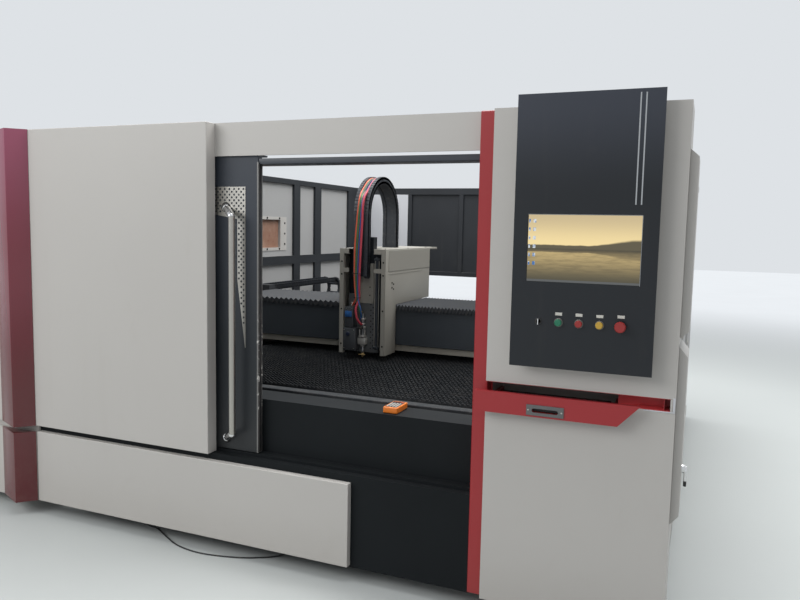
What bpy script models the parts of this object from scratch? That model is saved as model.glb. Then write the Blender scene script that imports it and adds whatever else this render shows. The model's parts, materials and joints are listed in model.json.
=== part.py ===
# Fiber laser cutting machine: enclosed casing, sliding door, slat table, gantry and operator console
# X runs along the front from left to right, Y into the machine, Z up, in metres
from math import ceil, cos, hypot, pi, sin

import bmesh
import bpy
from mathutils import Vector

# Gap kept between pieces that seat on each other
CLEAR = 0.0003

# Casing
LEFT_END = -1.97
RIGHT_SIDE = 1.919
FRONT = -1.91
REAR = 2.0
PANEL_BASE = 0.075
PANEL_TOP = 2.0465
WALL_DROP = 0.0845
SHEET = 0.003
EDGE_ROUND = 0.003

# Groove that crosses the front between the lower and the upper panels
GROOVE_LOW = 0.456
GROOVE_HIGH = 0.487
GROOVE_DEPTH = 0.02

# Left end cabinet and its ridged red trim
LEFT_CABINET_RIGHT = -1.27
LEFT_CABINET_DEPTH = 0.61
TRIM_LEFT = -1.47
TRIM_RIDGE = -1.343
TRIM_PROUD = 0.08

# Doorway in the front
COVER_RIGHT = -0.149
COVER_DEPTH = 0.065
STRIPE_LEFT = 1.145
STRIPE_WIDTH = 0.0614
STRIPE_SETBACK = 0.025
STRIPE_BACK = -1.70
FASCIA_SETBACK = 0.065
FASCIA_HEIGHT = 0.1515
FASCIA_LIP = 0.012
LOWER_PANEL_RIGHT = 0.598
DARK_PANEL_SETBACK = 0.03
DARK_PANEL_BASE = 0.067
SILL_TOP = 0.50
SILL_FRONT = -1.84
SILL_BACK = -1.7855
CABLE_FLANGE = 0.12
RAIL_DROP = 0.1535
RAIL_THICK = 0.023
RAIL_HANGER = 0.02
RAIL_TONGUE = 0.01
RAIL_FRONT = -1.79
RAIL_BACK = -1.75
RAIL_WEB_BACK = -1.70

# Sliding leaf, its pull bar and its perforated plate
LEAF_RIGHT = 0.079
LEAF_SIDE_GAP = 0.019
LEAF_FRONT = -1.83
LEAF_THICK = 0.035
LEAF_GAP = 0.002
LEAF_HOOK = 0.008
BAR_X = -0.024
BAR_Y = -1.89
BAR_RADIUS = 0.019
BAR_LOW = 0.583
BAR_DROP = 0.25
STANDOFF_REACH = 0.03
STANDOFF_INSET = 0.03
PLATE_LEFT = -0.215
PLATE_RIGHT = 0.011
PLATE_DROP = 0.146
PLATE_HEAD = 0.135
PLATE_STRIP = 0.045
PLATE_TO_TAPER = 0.435
PLATE_TO_TIP = 0.752
PLATE_SLANT = 0.014
PLATE_POINT = 0.003
PLATE_THICK = 0.002
PERFORATION = 0.004
PERFORATION_PITCH = 0.013

# Walls round the cutting space
LEFT_WALL_INNER = -1.225
FRAME_PROUD = 0.02
RIGHT_WALL_INNER = 1.83
RIGHT_WALL_OUTER = 1.90
WALL_FRONT = -1.69
REAR_WALL_DEPTH = 0.08
TOP_RAIL = 0.041
MID_RAIL_DROP = (0.699, 0.631)
FRONT_POSTS = ((0.635, 0.733), (0.991, 1.099))
REAR_POST_INSET = (0.363, 0.18)
CHAIN_SHELF_REACH = -1.022
CHAIN_SHELF_THICK = 0.01
CHAIN_SHELF_FRONT = -0.9
REAR_MARGIN = 0.25
WINDOW_Y = (-0.074, 0.447)
WINDOW_DROP = (0.561, 0.336)
WINDOW_SIDE_BORDER = 0.092
WINDOW_BORDER = 0.023
PANE_THICK = 0.008
EXCHANGE_X = (-0.98, 1.50)
EXCHANGE_Z = (0.55, 1.13)
REAR_BAY_LEFT = -0.664
REAR_BAY_PITCH = 0.52
REAR_RIB = 0.04
REAR_TOP_BAND = 0.061
WHITE_PANEL_X = (-1.095, -0.704)

# Bed, feet, rails, scrap hopper and slat table
BED_X = (-1.06, 1.60)
BED_FRONT = -1.62
BED_LOW = 0.25
BED_CROSS_TOP = 0.69
BED_TOP = 0.775
BEAM_INNER = (-0.80, 1.29)
HOPPER_X = (-0.72, 1.21)
HOPPER_FRONT = -1.48
HOPPER_TOP = 0.60
HOPPER_DEPTH = 0.30
HOPPER_TAPER = 0.12
LEG = 0.12
LEG_LOW = 0.09
FOOT_RADIUS = 0.04
FOOT_STUD = 0.012
Y_RAIL_X = (-0.96, 1.49)
Y_RAIL_WIDTH = 0.03
Y_RAIL_HEIGHT = 0.025
TABLE_X = (-0.77, 1.26)
TABLE_FRONT = -1.60
TABLE_RIM = 0.06
SLAT_TOP = 0.775
SLAT_DROP = 0.05
SLAT_THICK = 0.003
SLAT_PITCH = 0.09
TOOTH_PITCH = 0.29
TOOTH_DEPTH = 0.012
LEDGE_TOP = 0.755
LEDGE_LOW = 0.42
LEDGE_FRONT = -1.785

# Gantry
BEAM_X = (-1.01, 1.54)
BEAM_Y = (-0.50, 0.0)
BEAM_Z = (0.811, 1.08)
SADDLE_DROP = 0.03
SADDLE_CHEEK = 0.03
SADDLE_OVERHANG = 0.05
COVER_STRIP = 0.04
GANTRY_COVER_THICK = 0.02
CHAIN_ARM_RIGHT = -0.975
CHAIN_ARM_TOP = 1.14
CHAIN_ARM_FRONT = -0.10
BELLOWS_HIGH = 1.108
BELLOWS_LOW = 1.092
BELLOWS_FRONT = -0.53
BELLOWS_BACK = 0.01
BELLOWS_FOLD = 0.015
PLEAT_PITCH = 0.034

# Energy chain beside the left wall
Y_CHAIN_X = (-1.13, -1.015)
Y_CHAIN_LOW = 0.945
Y_CHAIN_HIGH = 1.136
Y_CHAIN_BEND = 1.13
Y_CHAIN_START = -0.30
CHAIN_BAND = 0.042
CHAIN_LINK = 0.046
CHAIN_NOTCH = 0.005

# Carriage, its Z column and the hose arch
CARRIAGE_X = (-0.082, 0.226)
CARRIAGE_FRONT = -0.70
CARRIAGE_BACK = 0.05
CARRIAGE_TOP = 1.45
CARRIAGE_FLOOR = 1.108
LEG_BACK = -0.53
LEG_TIP = 0.804
BACK_FLANGE = 0.15
BACK_FLANGE_LOW = 1.40
POST_WIDTH = 0.03
POST_DEPTH = 0.02
CARRIAGE_SKIN = 0.004
FRONT_BAR = (1.304, 1.33)
FRONT_BAR_TOP = 1.417
CHAIN_PASS = (-0.02, 0.147)
CARRIAGE_SADDLE_Y = (-0.45, -0.05)
COLUMN_X = (-0.05, 0.19)
COLUMN_FRONT = -0.6247
COLUMN_LOW = 0.84
COLUMN_TOP = 1.44
MOTOR_X = (0.06, 0.108)
MOTOR_Y = (-0.62, -0.57)
MOTOR_TOP = 1.52
ARCH_X = (0.004, 0.100)
ARCH_FRONT = -0.69
ARCH_REAR = -0.211
ARCH_TOP = 1.897
ARCH_END = 1.29
ARCH_BAND = 0.045
ARCH_FLANGE = 0.02
ARCH_BEND_STEPS = 14

# Cutting head
Z_PLATE_X = (-0.046, 0.157)
Z_PLATE_Z = (0.81, 1.17)
Z_PLATE_THICK = 0.016
TAN_X = (0.0, 0.128)
TAN_Z = (1.115, 1.36)
TAN_FOLD = 0.02
HEAD_X = (-0.046, 0.023)
HEAD_Z = (0.82, 1.095)
HEAD_DEPTH = 0.06
NOZZLE_X = 0.062
NOZZLE_Y = -0.658
NOZZLE_TIP = 0.78
NOZZLE_TOP = 1.05
SENSOR_WIDTH = 0.056
SENSOR_Z = (0.86, 0.908)
COLUMN_RADIUS = 0.010

# Operator cabinet at the right with its drawer
CABINET_DEPTH = 0.27
CABINET_LOW = 0.069
CABINET_STEP = 0.0005
SLOT_RIGHT = 1.909
SLOT_RIM = 0.933
SLOT_HIGH = 0.98
SLOT_DEPTH = 0.078
DRAWER_OPEN = 0.05
DRAWER_LEFT = 1.175
DRAWER_RIGHT = 1.8015
DRAWER_LOW_RIGHT = 1.7225
DRAWER_Z = (0.8675, 0.951)
DRAWER_FACE = 0.018
TRAY_X = (1.2143, 1.7097)
TRAY_DEPTH = 0.235
TRAY_FLOOR = 0.90
CAVITY_Z = (0.872, 0.976)
PULL_X = (1.3845, 1.527)
PULL_Z = (0.875, 0.9155)
PULL_PROUD = 0.004
FINGER_LENGTH = 0.103
FINGER_HEIGHT = 0.018
KEYBOARD_X = (1.25, 1.68)
KEYBOARD_DEPTH = 0.14
KEYBOARD_HEIGHT = 0.022
SIDE_COVER_DEPTH = 0.03
SIDE_COVER_Y = (-1.88, -1.66)
UPPER_COVER_LOW = 1.20
UPPER_COVER_DROP = 0.1665
UPPER_CHAMFER = (0.029, 0.018)
SIDE_DOOR_Z = (0.50, 1.17)
LOWER_CHAMFER = (0.031, 0.076)
COMPARTMENT_Z = (0.53, 0.84)
COMPARTMENT_DEPTH = 0.40
COMPARTMENT_MARGIN = 0.03
LEVER_Y = -1.84
LEVER_Z = (0.64, 0.72)
LEVER_REACH = 0.0204

# Console plate, screen and controls
PLATE_PLANE = -1.97
CONSOLE_X = (1.313, 1.8345)
CONSOLE_LOW = 1.064
CONSOLE_RISE = 0.0355
HOUSING_INSET = 0.014
SCREEN_X = (1.3665, 1.7775)
SCREEN_Z = (1.389, 1.6415)
SCREEN_DEPTH = 0.03
SCREEN_PROUD = 0.002
CONTROL_Z = 1.24
FIRST_CONTROL = 1.42
CONTROL_PITCH = 0.0748
BUTTON_RADIUS = 0.0135
BUTTON_REACH = 0.015
BUTTON_LIFT = 0.0045
SHAFT_RADIUS = 0.010
SHAFT_DEPTH = 0.025
ESTOP_RADIUS = 0.0205
ESTOP_REACH = 0.03
ESTOP_LIFT = 0.012
KEY_RADIUS = 0.009
KEY_BLADE = (0.022, 0.003, 0.012)

# Loose things on and under the machine
REMOTE_CENTRE = (0.728, -1.70)
REMOTE_SIZE = (0.070, 0.125, 0.028)
CABLE_RADIUS = 0.0035
CABLE_ROUTE = (
    (-0.655, -1.795, 0.0664), (-0.653, -1.797, 0.045), (-0.635, -1.798, 0.020),
    (-0.600, -1.795, 0.006), (-0.555, -1.800, 0.0037), (-0.452, -1.856, 0.0037),
    (-0.345, -1.910, 0.0037), (-0.240, -1.935, 0.0037), (-0.151, -1.937, 0.0037),
    (-0.048, -1.919, 0.0037), (0.047, -1.890, 0.0037), (0.133, -1.845, 0.0037),
    (0.180, -1.812, 0.006), (0.214, -1.797, 0.020), (0.230, -1.795, 0.045),
    (0.232, -1.795, 0.0664),
)
CABLE_STEP = 0.021

# Sizes that follow from the ones above
REAR_WALL_INNER = REAR - REAR_WALL_DEPTH
POSTS = FRONT_POSTS + (tuple(REAR - inset for inset in REAR_POST_INSET),)
CHAIN_SHELF_SPAN = (CHAIN_SHELF_FRONT, REAR - REAR_MARGIN)
TABLE_Y = (TABLE_FRONT, REAR - REAR_MARGIN)
HOPPER_Y = (HOPPER_FRONT, TABLE_Y[1] - 0.01)
BUTTON_FRONT = PLATE_PLANE - BUTTON_REACH
BUTTON_BACK = PLATE_PLANE - BUTTON_LIFT
SHAFT_END = PLATE_PLANE + SHAFT_DEPTH
ESTOP_FRONT = PLATE_PLANE - ESTOP_REACH
ESTOP_BACK = PLATE_PLANE - ESTOP_LIFT
WALL_TOP = PANEL_TOP - WALL_DROP
FASCIA_LOW = PANEL_TOP - FASCIA_HEIGHT
RAIL_HIGH = PANEL_TOP - RAIL_DROP
RAIL_LOW = RAIL_HIGH - RAIL_THICK
LEAF_HOOK_TOP = RAIL_HIGH + LEAF_HOOK
BAR_HIGH = LEAF_HOOK_TOP - BAR_DROP
PLATE_TOP = LEAF_HOOK_TOP - PLATE_DROP
PLATE_LOW = PLATE_TOP - PLATE_HEAD
PLATE_TAPER = PLATE_TOP - PLATE_TO_TAPER
PLATE_TIP = PLATE_TOP - PLATE_TO_TIP
MID_RAIL_LOW, MID_RAIL_HIGH = (WALL_TOP - drop for drop in MID_RAIL_DROP)
WINDOW_Z = tuple(WALL_TOP - drop for drop in WINDOW_DROP)
CABINET_HIGH = PANEL_TOP - CABINET_STEP
UPPER_COVER_Z = (UPPER_COVER_LOW, PANEL_TOP - UPPER_COVER_DROP)
CONSOLE_Z = (CONSOLE_LOW, PANEL_TOP + CONSOLE_RISE)
DARK_FRONT = FRONT + DARK_PANEL_SETBACK
FASCIA_FRONT = FRONT + FASCIA_SETBACK
STRIPE_FRONT = FRONT + STRIPE_SETBACK
STRIPE_RIGHT = STRIPE_LEFT + STRIPE_WIDTH
CABINET_LEFT = STRIPE_RIGHT + CLEAR
CABINET_BACK = FRONT + CABINET_DEPTH
LEFT_WALL_OUTER = LEFT_CABINET_RIGHT + CLEAR
LEAF_LEFT = LEFT_CABINET_RIGHT + LEAF_SIDE_GAP
LEAF_BACK = LEAF_FRONT + LEAF_THICK
DRAWER_FRONT = FRONT - DRAWER_OPEN
Y_RAIL_TOP = BED_TOP + CLEAR + Y_RAIL_HEIGHT
Z_PLATE_BACK = COLUMN_FRONT - CLEAR
Z_PLATE_FRONT = Z_PLATE_BACK - Z_PLATE_THICK
HOUSING_FRONT = PLATE_PLANE + SHEET + CLEAR


def colour(name, rgb, rough, metal=0.0):
    paint = bpy.data.materials.new(name)
    paint.use_nodes = True
    shader = paint.node_tree.nodes["Principled BSDF"]
    shader.inputs["Base Color"].default_value = (*rgb, 1.0)
    shader.inputs["Roughness"].default_value = rough
    shader.inputs["Metallic"].default_value = metal
    paint.diffuse_color = (*rgb, 1.0)
    return paint


def start():
    for old in list(bpy.data.objects):
        bpy.data.objects.remove(old, do_unlink=True)
    groups = {}
    for title in ("fiber_laser_cutting_machine", "cutters"):
        groups[title] = bpy.data.collections.new(title)
        bpy.context.scene.collection.children.link(groups[title])
    return groups["fiber_laser_cutting_machine"], groups["cutters"]


PARTS, CUTTERS = start()
LIGHT_GREY = colour("light_grey_paint", (0.49, 0.475, 0.445), 0.5)
WALL_GREY = colour("wall_grey_paint", (0.39, 0.39, 0.385), 0.6)
DARK_GREY = colour("dark_grey_paint", (0.045, 0.055, 0.075), 0.5)
BLACK = colour("black_paint", (0.02, 0.022, 0.026), 0.55)
RED = colour("red_paint", (0.32, 0.035, 0.04), 0.4)
WINE = colour("wine_gloss", (0.1, 0.02, 0.025), 0.15)
BEIGE = colour("beige_paint", (0.23, 0.215, 0.175), 0.55)
BARE_STEEL = colour("bare_steel", (0.3, 0.29, 0.27), 0.45, 0.9)
RUST_BLACK = colour("scaled_steel", (0.05, 0.048, 0.045), 0.75, 0.5)
NICKEL = colour("nickel_bar", (0.4, 0.37, 0.34), 0.25, 1.0)
AMBER = colour("amber_glass", (0.32, 0.17, 0.12), 0.1)
SCREEN = colour("screen_glass", (0.02, 0.03, 0.05), 0.1)
RUBBER = colour("black_rubber", (0.02, 0.02, 0.02), 0.7)
GREEN = colour("green_button", (0.02, 0.3, 0.12), 0.35)
BRIGHT_RED = colour("red_button", (0.5, 0.02, 0.02), 0.35)
YELLOW = colour("yellow_button", (0.7, 0.5, 0.05), 0.35)
ORANGE = colour("orange_plastic", (0.85, 0.3, 0.03), 0.45)
CHROME = colour("chrome", (0.6, 0.6, 0.6), 0.12, 1.0)


def add(name, mesh, paint, group=PARTS):
    mesh.name = name
    mesh.materials.clear()
    mesh.materials.append(paint)
    piece = bpy.data.objects.new(name, mesh)
    group.objects.link(piece)
    return piece


def as_cutter(piece):
    for group in list(piece.users_collection):
        group.objects.unlink(piece)
    CUTTERS.objects.link(piece)
    piece.hide_render = True
    piece.display_type = "WIRE"
    return piece


def boolean(piece, other, operation):
    step = piece.modifiers.new(operation.lower(), "BOOLEAN")
    step.operation = operation
    step.solver = "EXACT"
    step.object = as_cutter(other)
    return piece


def cut(piece, *cutters):
    for cutter in cutters:
        boolean(piece, cutter, "DIFFERENCE")
    return piece


def weld(piece, *others):
    for other in others:
        boolean(piece, other, "UNION")
    return piece


def round_edges(piece, width=EDGE_ROUND, segments=1):
    step = piece.modifiers.new("edges", "BEVEL")
    step.width = width
    step.segments = segments
    step.limit_method = "ANGLE"
    step.angle_limit = 0.9
    return piece


def block(name, x, y, z, paint=BLACK):
    # A box between two places on each axis, with its origin at its centre
    form = bmesh.new()
    bmesh.ops.create_cube(form, size=1.0)
    bmesh.ops.scale(form, vec=(x[1] - x[0], y[1] - y[0], z[1] - z[0]), verts=form.verts)
    mesh = bpy.data.meshes.new(name)
    form.to_mesh(mesh)
    form.free()
    piece = add(name, mesh, paint)
    piece.location = ((x[0] + x[1]) / 2, (y[0] + y[1]) / 2, (z[0] + z[1]) / 2)
    return piece


def tray(name, x, y, z, paint, open_side, sheet=SHEET, rounding=EDGE_ROUND):
    # A folded sheet cover: a box with one side open, bent round its edges and given its wall inwards
    piece = block(name, x, y, z, paint)
    form = bmesh.new()
    form.from_mesh(piece.data)
    side = Vector(open_side)
    gone = [face for face in form.faces if face.normal.dot(side) > 0.5]
    bmesh.ops.delete(form, geom=gone, context="FACES")
    form.to_mesh(piece.data)
    form.free()
    round_edges(piece, rounding, 2)
    wall = piece.modifiers.new("wall", "SOLIDIFY")
    wall.thickness = sheet
    wall.offset = -1.0
    wall.use_even_offset = True
    return piece


def plain_mesh(piece, merge=0.000001):
    # The piece as its modifiers or its curve make it, as a welded mesh
    bpy.context.view_layer.update()
    graph = bpy.context.evaluated_depsgraph_get()
    mesh = bpy.data.meshes.new_from_object(piece.evaluated_get(graph))
    form = bmesh.new()
    form.from_mesh(mesh)
    bmesh.ops.remove_doubles(form, verts=form.verts, dist=merge)
    bmesh.ops.recalc_face_normals(form, faces=form.faces)
    form.to_mesh(mesh)
    form.free()
    return mesh


TURN_FOR = {"X": (pi / 2, 0.0, pi / 2), "Y": (pi / 2, 0.0, 0.0), "Z": (0.0, 0.0, 0.0)}
SPOT_FOR = {"X": lambda m: (m, 0.0, 0.0), "Y": lambda m: (0.0, m, 0.0), "Z": lambda m: (0.0, 0.0, m)}


def extruded(name, outlines, along, span, paint=BLACK):
    # Flat closed outlines, the later ones as holes, drawn out along an axis from span[0] to span[1].
    # Outline points are (y, z) along X, (x, z) along Y and (x, y) along Z.
    drawing = bpy.data.curves.new(name, "CURVE")
    drawing.dimensions = "2D"
    drawing.fill_mode = "BOTH"
    drawing.extrude = (span[1] - span[0]) / 2
    for outline in outlines:
        line = drawing.splines.new("POLY")
        line.points.add(len(outline) - 1)
        for point, (u, v) in zip(line.points, outline):
            point.co = (u, v, 0.0, 1.0)
        line.use_cyclic_u = True
    sketch = bpy.data.objects.new(name + "_sketch", drawing)
    PARTS.objects.link(sketch)
    mesh = plain_mesh(sketch)
    bpy.data.objects.remove(sketch)
    piece = add(name, mesh, paint)
    piece.rotation_euler = TURN_FOR[along]
    piece.location = SPOT_FOR[along]((span[0] + span[1]) / 2)
    return piece


def folded(name, path, sheet, along, span, paint):
    # Sheet metal bent along a path; the wall lies on the left of the path as it is followed
    spots = [Vector(p) for p in path]
    inner = []
    for i, spot in enumerate(spots):
        before = (spot - spots[i - 1]).normalized() if i > 0 else None
        after = (spots[i + 1] - spot).normalized() if i + 1 < len(spots) else None
        first = before or after
        second = after or before
        left_a = Vector((-first.y, first.x))
        left_b = Vector((-second.y, second.x))
        middle = (left_a + left_b).normalized()
        inner.append(spot + middle * sheet / middle.dot(left_a))
    outline = [tuple(p) for p in spots] + [tuple(p) for p in reversed(inner)]
    return extruded(name, [outline], along, span, paint)


def turned(name, profile, place, along, paint, steps=16):
    # A profile of (radius, height) pairs from the bottom up, turned round the axis through place
    form = bmesh.new()
    spots = [form.verts.new((radius, 0.0, height)) for radius, height in reversed(profile)]
    for a, b in zip(spots, spots[1:]):
        form.edges.new((a, b))
    mesh = bpy.data.meshes.new(name)
    form.to_mesh(mesh)
    form.free()
    piece = add(name, mesh, paint)
    spin = piece.modifiers.new("turn", "SCREW")
    spin.steps = steps
    spin.render_steps = steps
    spin.use_merge_vertices = True
    spin.merge_threshold = 0.00001
    piece.rotation_euler = {"Z": (0, 0, 0), "-Y": (pi / 2, 0, 0), "X": (0, pi / 2, 0)}[along]
    piece.location = place
    return piece


def disc(name, radius, place, along, length, paint=BLACK, steps=16):
    # A plain round bar that starts at place and runs along an axis
    return turned(name, [(0, 0), (radius, 0), (radius, length), (0, length)], place, along, paint, steps)


def tube(name, route, radius, paint, resolution=2):
    # A round tube along a list of points, with closed ends
    drawing = bpy.data.curves.new(name, "CURVE")
    drawing.dimensions = "3D"
    drawing.bevel_depth = radius
    drawing.bevel_resolution = resolution
    drawing.use_fill_caps = True
    line = drawing.splines.new("POLY")
    line.points.add(len(route) - 1)
    for point, spot in zip(line.points, route):
        point.co = (*spot, 1.0)
    sketch = bpy.data.objects.new(name + "_sketch", drawing)
    PARTS.objects.link(sketch)
    mesh = plain_mesh(sketch, 0.00002)
    bpy.data.objects.remove(sketch)
    return add(name, mesh, paint)


def smooth_route(spots, step):
    # Points at about equal steps on a smooth curve through the given ones
    spots = [Vector(s) for s in spots]
    ends = [2 * spots[0] - spots[1]] + spots + [2 * spots[-1] - spots[-2]]
    route = [spots[0]]
    for i in range(1, len(ends) - 2):
        a, b, c, d = ends[i - 1:i + 3]
        count = max(1, ceil((c - b).length / step))
        for k in range(1, count + 1):
            t = k / count
            route.append(0.5 * (2 * b + (c - a) * t + (2 * a - 5 * b + 4 * c - d) * t ** 2
                                + (3 * b - a - 3 * c + d) * t ** 3))
    return [tuple(p) for p in route]


def ring(centre, radius, count=12, start=0.0):
    return [(centre[0] + radius * cos(start + 2 * pi * k / count),
             centre[1] + radius * sin(start + 2 * pi * k / count)) for k in range(count)]


def rectangle(x, z):
    return [(x[0], z[0]), (x[1], z[0]), (x[1], z[1]), (x[0], z[1])]


def stadium(centre, length, height, count=6):
    radius = height / 2
    reach = length / 2 - radius
    right = [(centre[0] + reach + radius * cos(-pi / 2 + pi * k / count),
              centre[1] + radius * sin(-pi / 2 + pi * k / count)) for k in range(count + 1)]
    return right + [(2 * centre[0] - x, 2 * centre[1] - z) for x, z in right]


def chain_outline(path_length, place_at, band, link, notch):
    # The side view of an energy chain: a band with a notch on both sides at each link's joint.
    # place_at(s) gives the middle line's point and its normal at the distance s.
    count = round(path_length / link)
    step = path_length / count
    sides = {1: [], -1: []}
    for side, edge in sides.items():
        for k in range(count):
            marks = [(0.0 if k else 0.001, 0.0 if k == 0 else notch), (0.2, 0.0), (0.8, 0.0)]
            for share, drop in marks:
                spot, normal = place_at((k + share) * step)
                edge.append(spot + side * (band / 2 - drop) * normal)
        spot, normal = place_at(path_length)
        edge.append(spot + side * band / 2 * normal)
    return [tuple(p) for p in sides[1]] + [tuple(p) for p in reversed(sides[-1])]


def hairpin(first_run, radius, second_run, start, heading, turn):
    # Middle line of a straight run, a half circle and a straight run back, with its normals
    heading = Vector(heading)
    across = Vector((-heading.y, heading.x)) * turn
    half = pi * radius

    def place_at(s):
        if s <= first_run:
            return Vector(start) + heading * s, across
        if s <= first_run + half:
            angle = (s - first_run) / radius
            centre = Vector(start) + heading * first_run + across * radius
            outward = heading * sin(angle) - across * cos(angle)
            return centre + outward * radius, -outward
        back = s - first_run - half
        return Vector(start) + heading * (first_run - back) + across * 2 * radius, -across
    return first_run + half + second_run, place_at


def make_bed():
    # One welded bed: side beams, lower cross members, the hopper's opening and legs left between cuts
    section = [(BED_X[0], LEG_LOW), (BED_X[1], LEG_LOW), (BED_X[1], BED_TOP), (BEAM_INNER[1], BED_TOP),
               (BEAM_INNER[1], BED_CROSS_TOP), (BEAM_INNER[0], BED_CROSS_TOP), (BEAM_INNER[0], BED_TOP),
               (BED_X[0], BED_TOP)]
    bed = extruded("machine_bed", [section], "Y", (BED_FRONT, REAR_WALL_INNER), DARK_GREY)
    cut(bed, block("hopper_hole", HOPPER_X, HOPPER_Y, (LEG_LOW - 0.1, BED_TOP + 0.1)))
    between = (BED_X[0] + LEG, BED_X[1] - LEG)
    past = (BED_FRONT - 0.1, REAR_WALL_INNER + 0.1)
    cut(bed, block("foot_room", between, past, (LEG_LOW - 0.1, BED_LOW)))
    middle = (BED_FRONT + REAR_WALL_INNER) / 2
    wide = (BED_X[0] - 0.1, BED_X[1] + 0.1)
    for low, high in ((BED_FRONT, middle), (middle, REAR_WALL_INNER)):
        start_y = low + (LEG if low == BED_FRONT else LEG / 2)
        end_y = high - (LEG / 2 if high == middle else LEG)
        cut(bed, block("side_room", wide, (start_y, end_y), (LEG_LOW - 0.1, BED_LOW + 0.02)))
    for side, x in (("left", BED_X[0] + LEG / 2), ("right", BED_X[1] - LEG / 2)):
        for end, y in (("front", BED_FRONT + LEG / 2), ("rear", REAR_WALL_INNER - LEG / 2)):
            top = LEG_LOW - CLEAR
            profile = [(0, 0), (FOOT_RADIUS, 0), (FOOT_RADIUS, 0.012), (0.018, 0.022),
                       (FOOT_STUD, 0.028), (FOOT_STUD, top - 0.012), (0.022, top - 0.012),
                       (0.022, top), (0, top)]
            turned("foot_" + end + "_" + side, profile, (x, y, 0.0), "Z", BARE_STEEL, 12)
    for side, x in zip(("left", "right"), Y_RAIL_X):
        half = Y_RAIL_WIDTH / 2
        groove = Y_RAIL_HEIGHT * 0.3
        outline = [(x - half, BED_TOP + CLEAR), (x + half, BED_TOP + CLEAR),
                   (x + half, BED_TOP + groove), (x + half * 0.7, BED_TOP + groove * 1.5),
                   (x + half * 0.7, BED_TOP + groove * 2.2), (x + half, BED_TOP + groove * 2.7),
                   (x + half, Y_RAIL_TOP), (x - half, Y_RAIL_TOP),
                   (x - half, BED_TOP + groove * 2.7), (x - half * 0.7, BED_TOP + groove * 2.2),
                   (x - half * 0.7, BED_TOP + groove * 1.5), (x - half, BED_TOP + groove)]
        extruded("y_rail_" + side, [outline], "Y", (BED_FRONT + 0.04, REAR_WALL_INNER - 0.04), BARE_STEEL)


def make_hopper():
    # An open pan with sloping walls, hung in the bed's opening
    x = (HOPPER_X[0] + CLEAR, HOPPER_X[1] - CLEAR)
    y = (HOPPER_Y[0] + CLEAR, HOPPER_Y[1] - CLEAR)
    pan = block("scrap_hopper", x, y, (HOPPER_TOP - HOPPER_DEPTH, HOPPER_TOP), RUST_BLACK)
    form = bmesh.new()
    form.from_mesh(pan.data)
    gone = [face for face in form.faces if face.normal.z > 0.5]
    bmesh.ops.delete(form, geom=gone, context="FACES")
    for vert in form.verts:
        if vert.co.z < 0:
            vert.co.x -= HOPPER_TAPER * (1 if vert.co.x > 0 else -1)
            vert.co.y -= HOPPER_TAPER * (1 if vert.co.y > 0 else -1)
    form.to_mesh(pan.data)
    form.free()
    wall = pan.modifiers.new("wall", "SOLIDIFY")
    wall.thickness = SHEET
    wall.offset = -1.0
    wall.use_even_offset = True


def make_table():
    # A frame with a row of toothed slats across it, which stand a little above its rim
    low = BED_CROSS_TOP + CLEAR
    rim_top = SLAT_TOP - TOOTH_DEPTH
    inner_x = (TABLE_X[0] + TABLE_RIM, TABLE_X[1] - TABLE_RIM)
    inner_y = (TABLE_Y[0] + TABLE_RIM, TABLE_Y[1] - TABLE_RIM)
    frame = extruded("slat_table", [rectangle(TABLE_X, TABLE_Y), rectangle(inner_x, inner_y)], "Z",
                     (low, rim_top), RUST_BLACK)
    ends = (inner_x[0] - TABLE_RIM / 2, inner_x[1] + TABLE_RIM / 2)
    teeth = round((ends[1] - ends[0]) / TOOTH_PITCH)
    step = (ends[1] - ends[0]) / teeth
    outline = [(ends[0], SLAT_TOP - SLAT_DROP), (ends[1], SLAT_TOP - SLAT_DROP)]
    for k in range(teeth, 0, -1):
        outline.append((ends[0] + k * step, SLAT_TOP))
        outline.append((ends[0] + (k - 0.5) * step, SLAT_TOP - TOOTH_DEPTH))
    outline.append((ends[0], SLAT_TOP))
    count = int((inner_y[1] - inner_y[0]) / SLAT_PITCH)
    first = (inner_y[0] + inner_y[1] - (count - 1) * SLAT_PITCH) / 2
    slats = extruded("slats", [outline], "Y", (first - SLAT_THICK / 2, first + SLAT_THICK / 2))
    row = slats.modifiers.new("row", "ARRAY")
    row.count = count
    row.use_relative_offset = False
    row.use_constant_offset = True
    row.constant_offset_displace = (0.0, 0.0, -SLAT_PITCH)
    weld(frame, slats)


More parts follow.
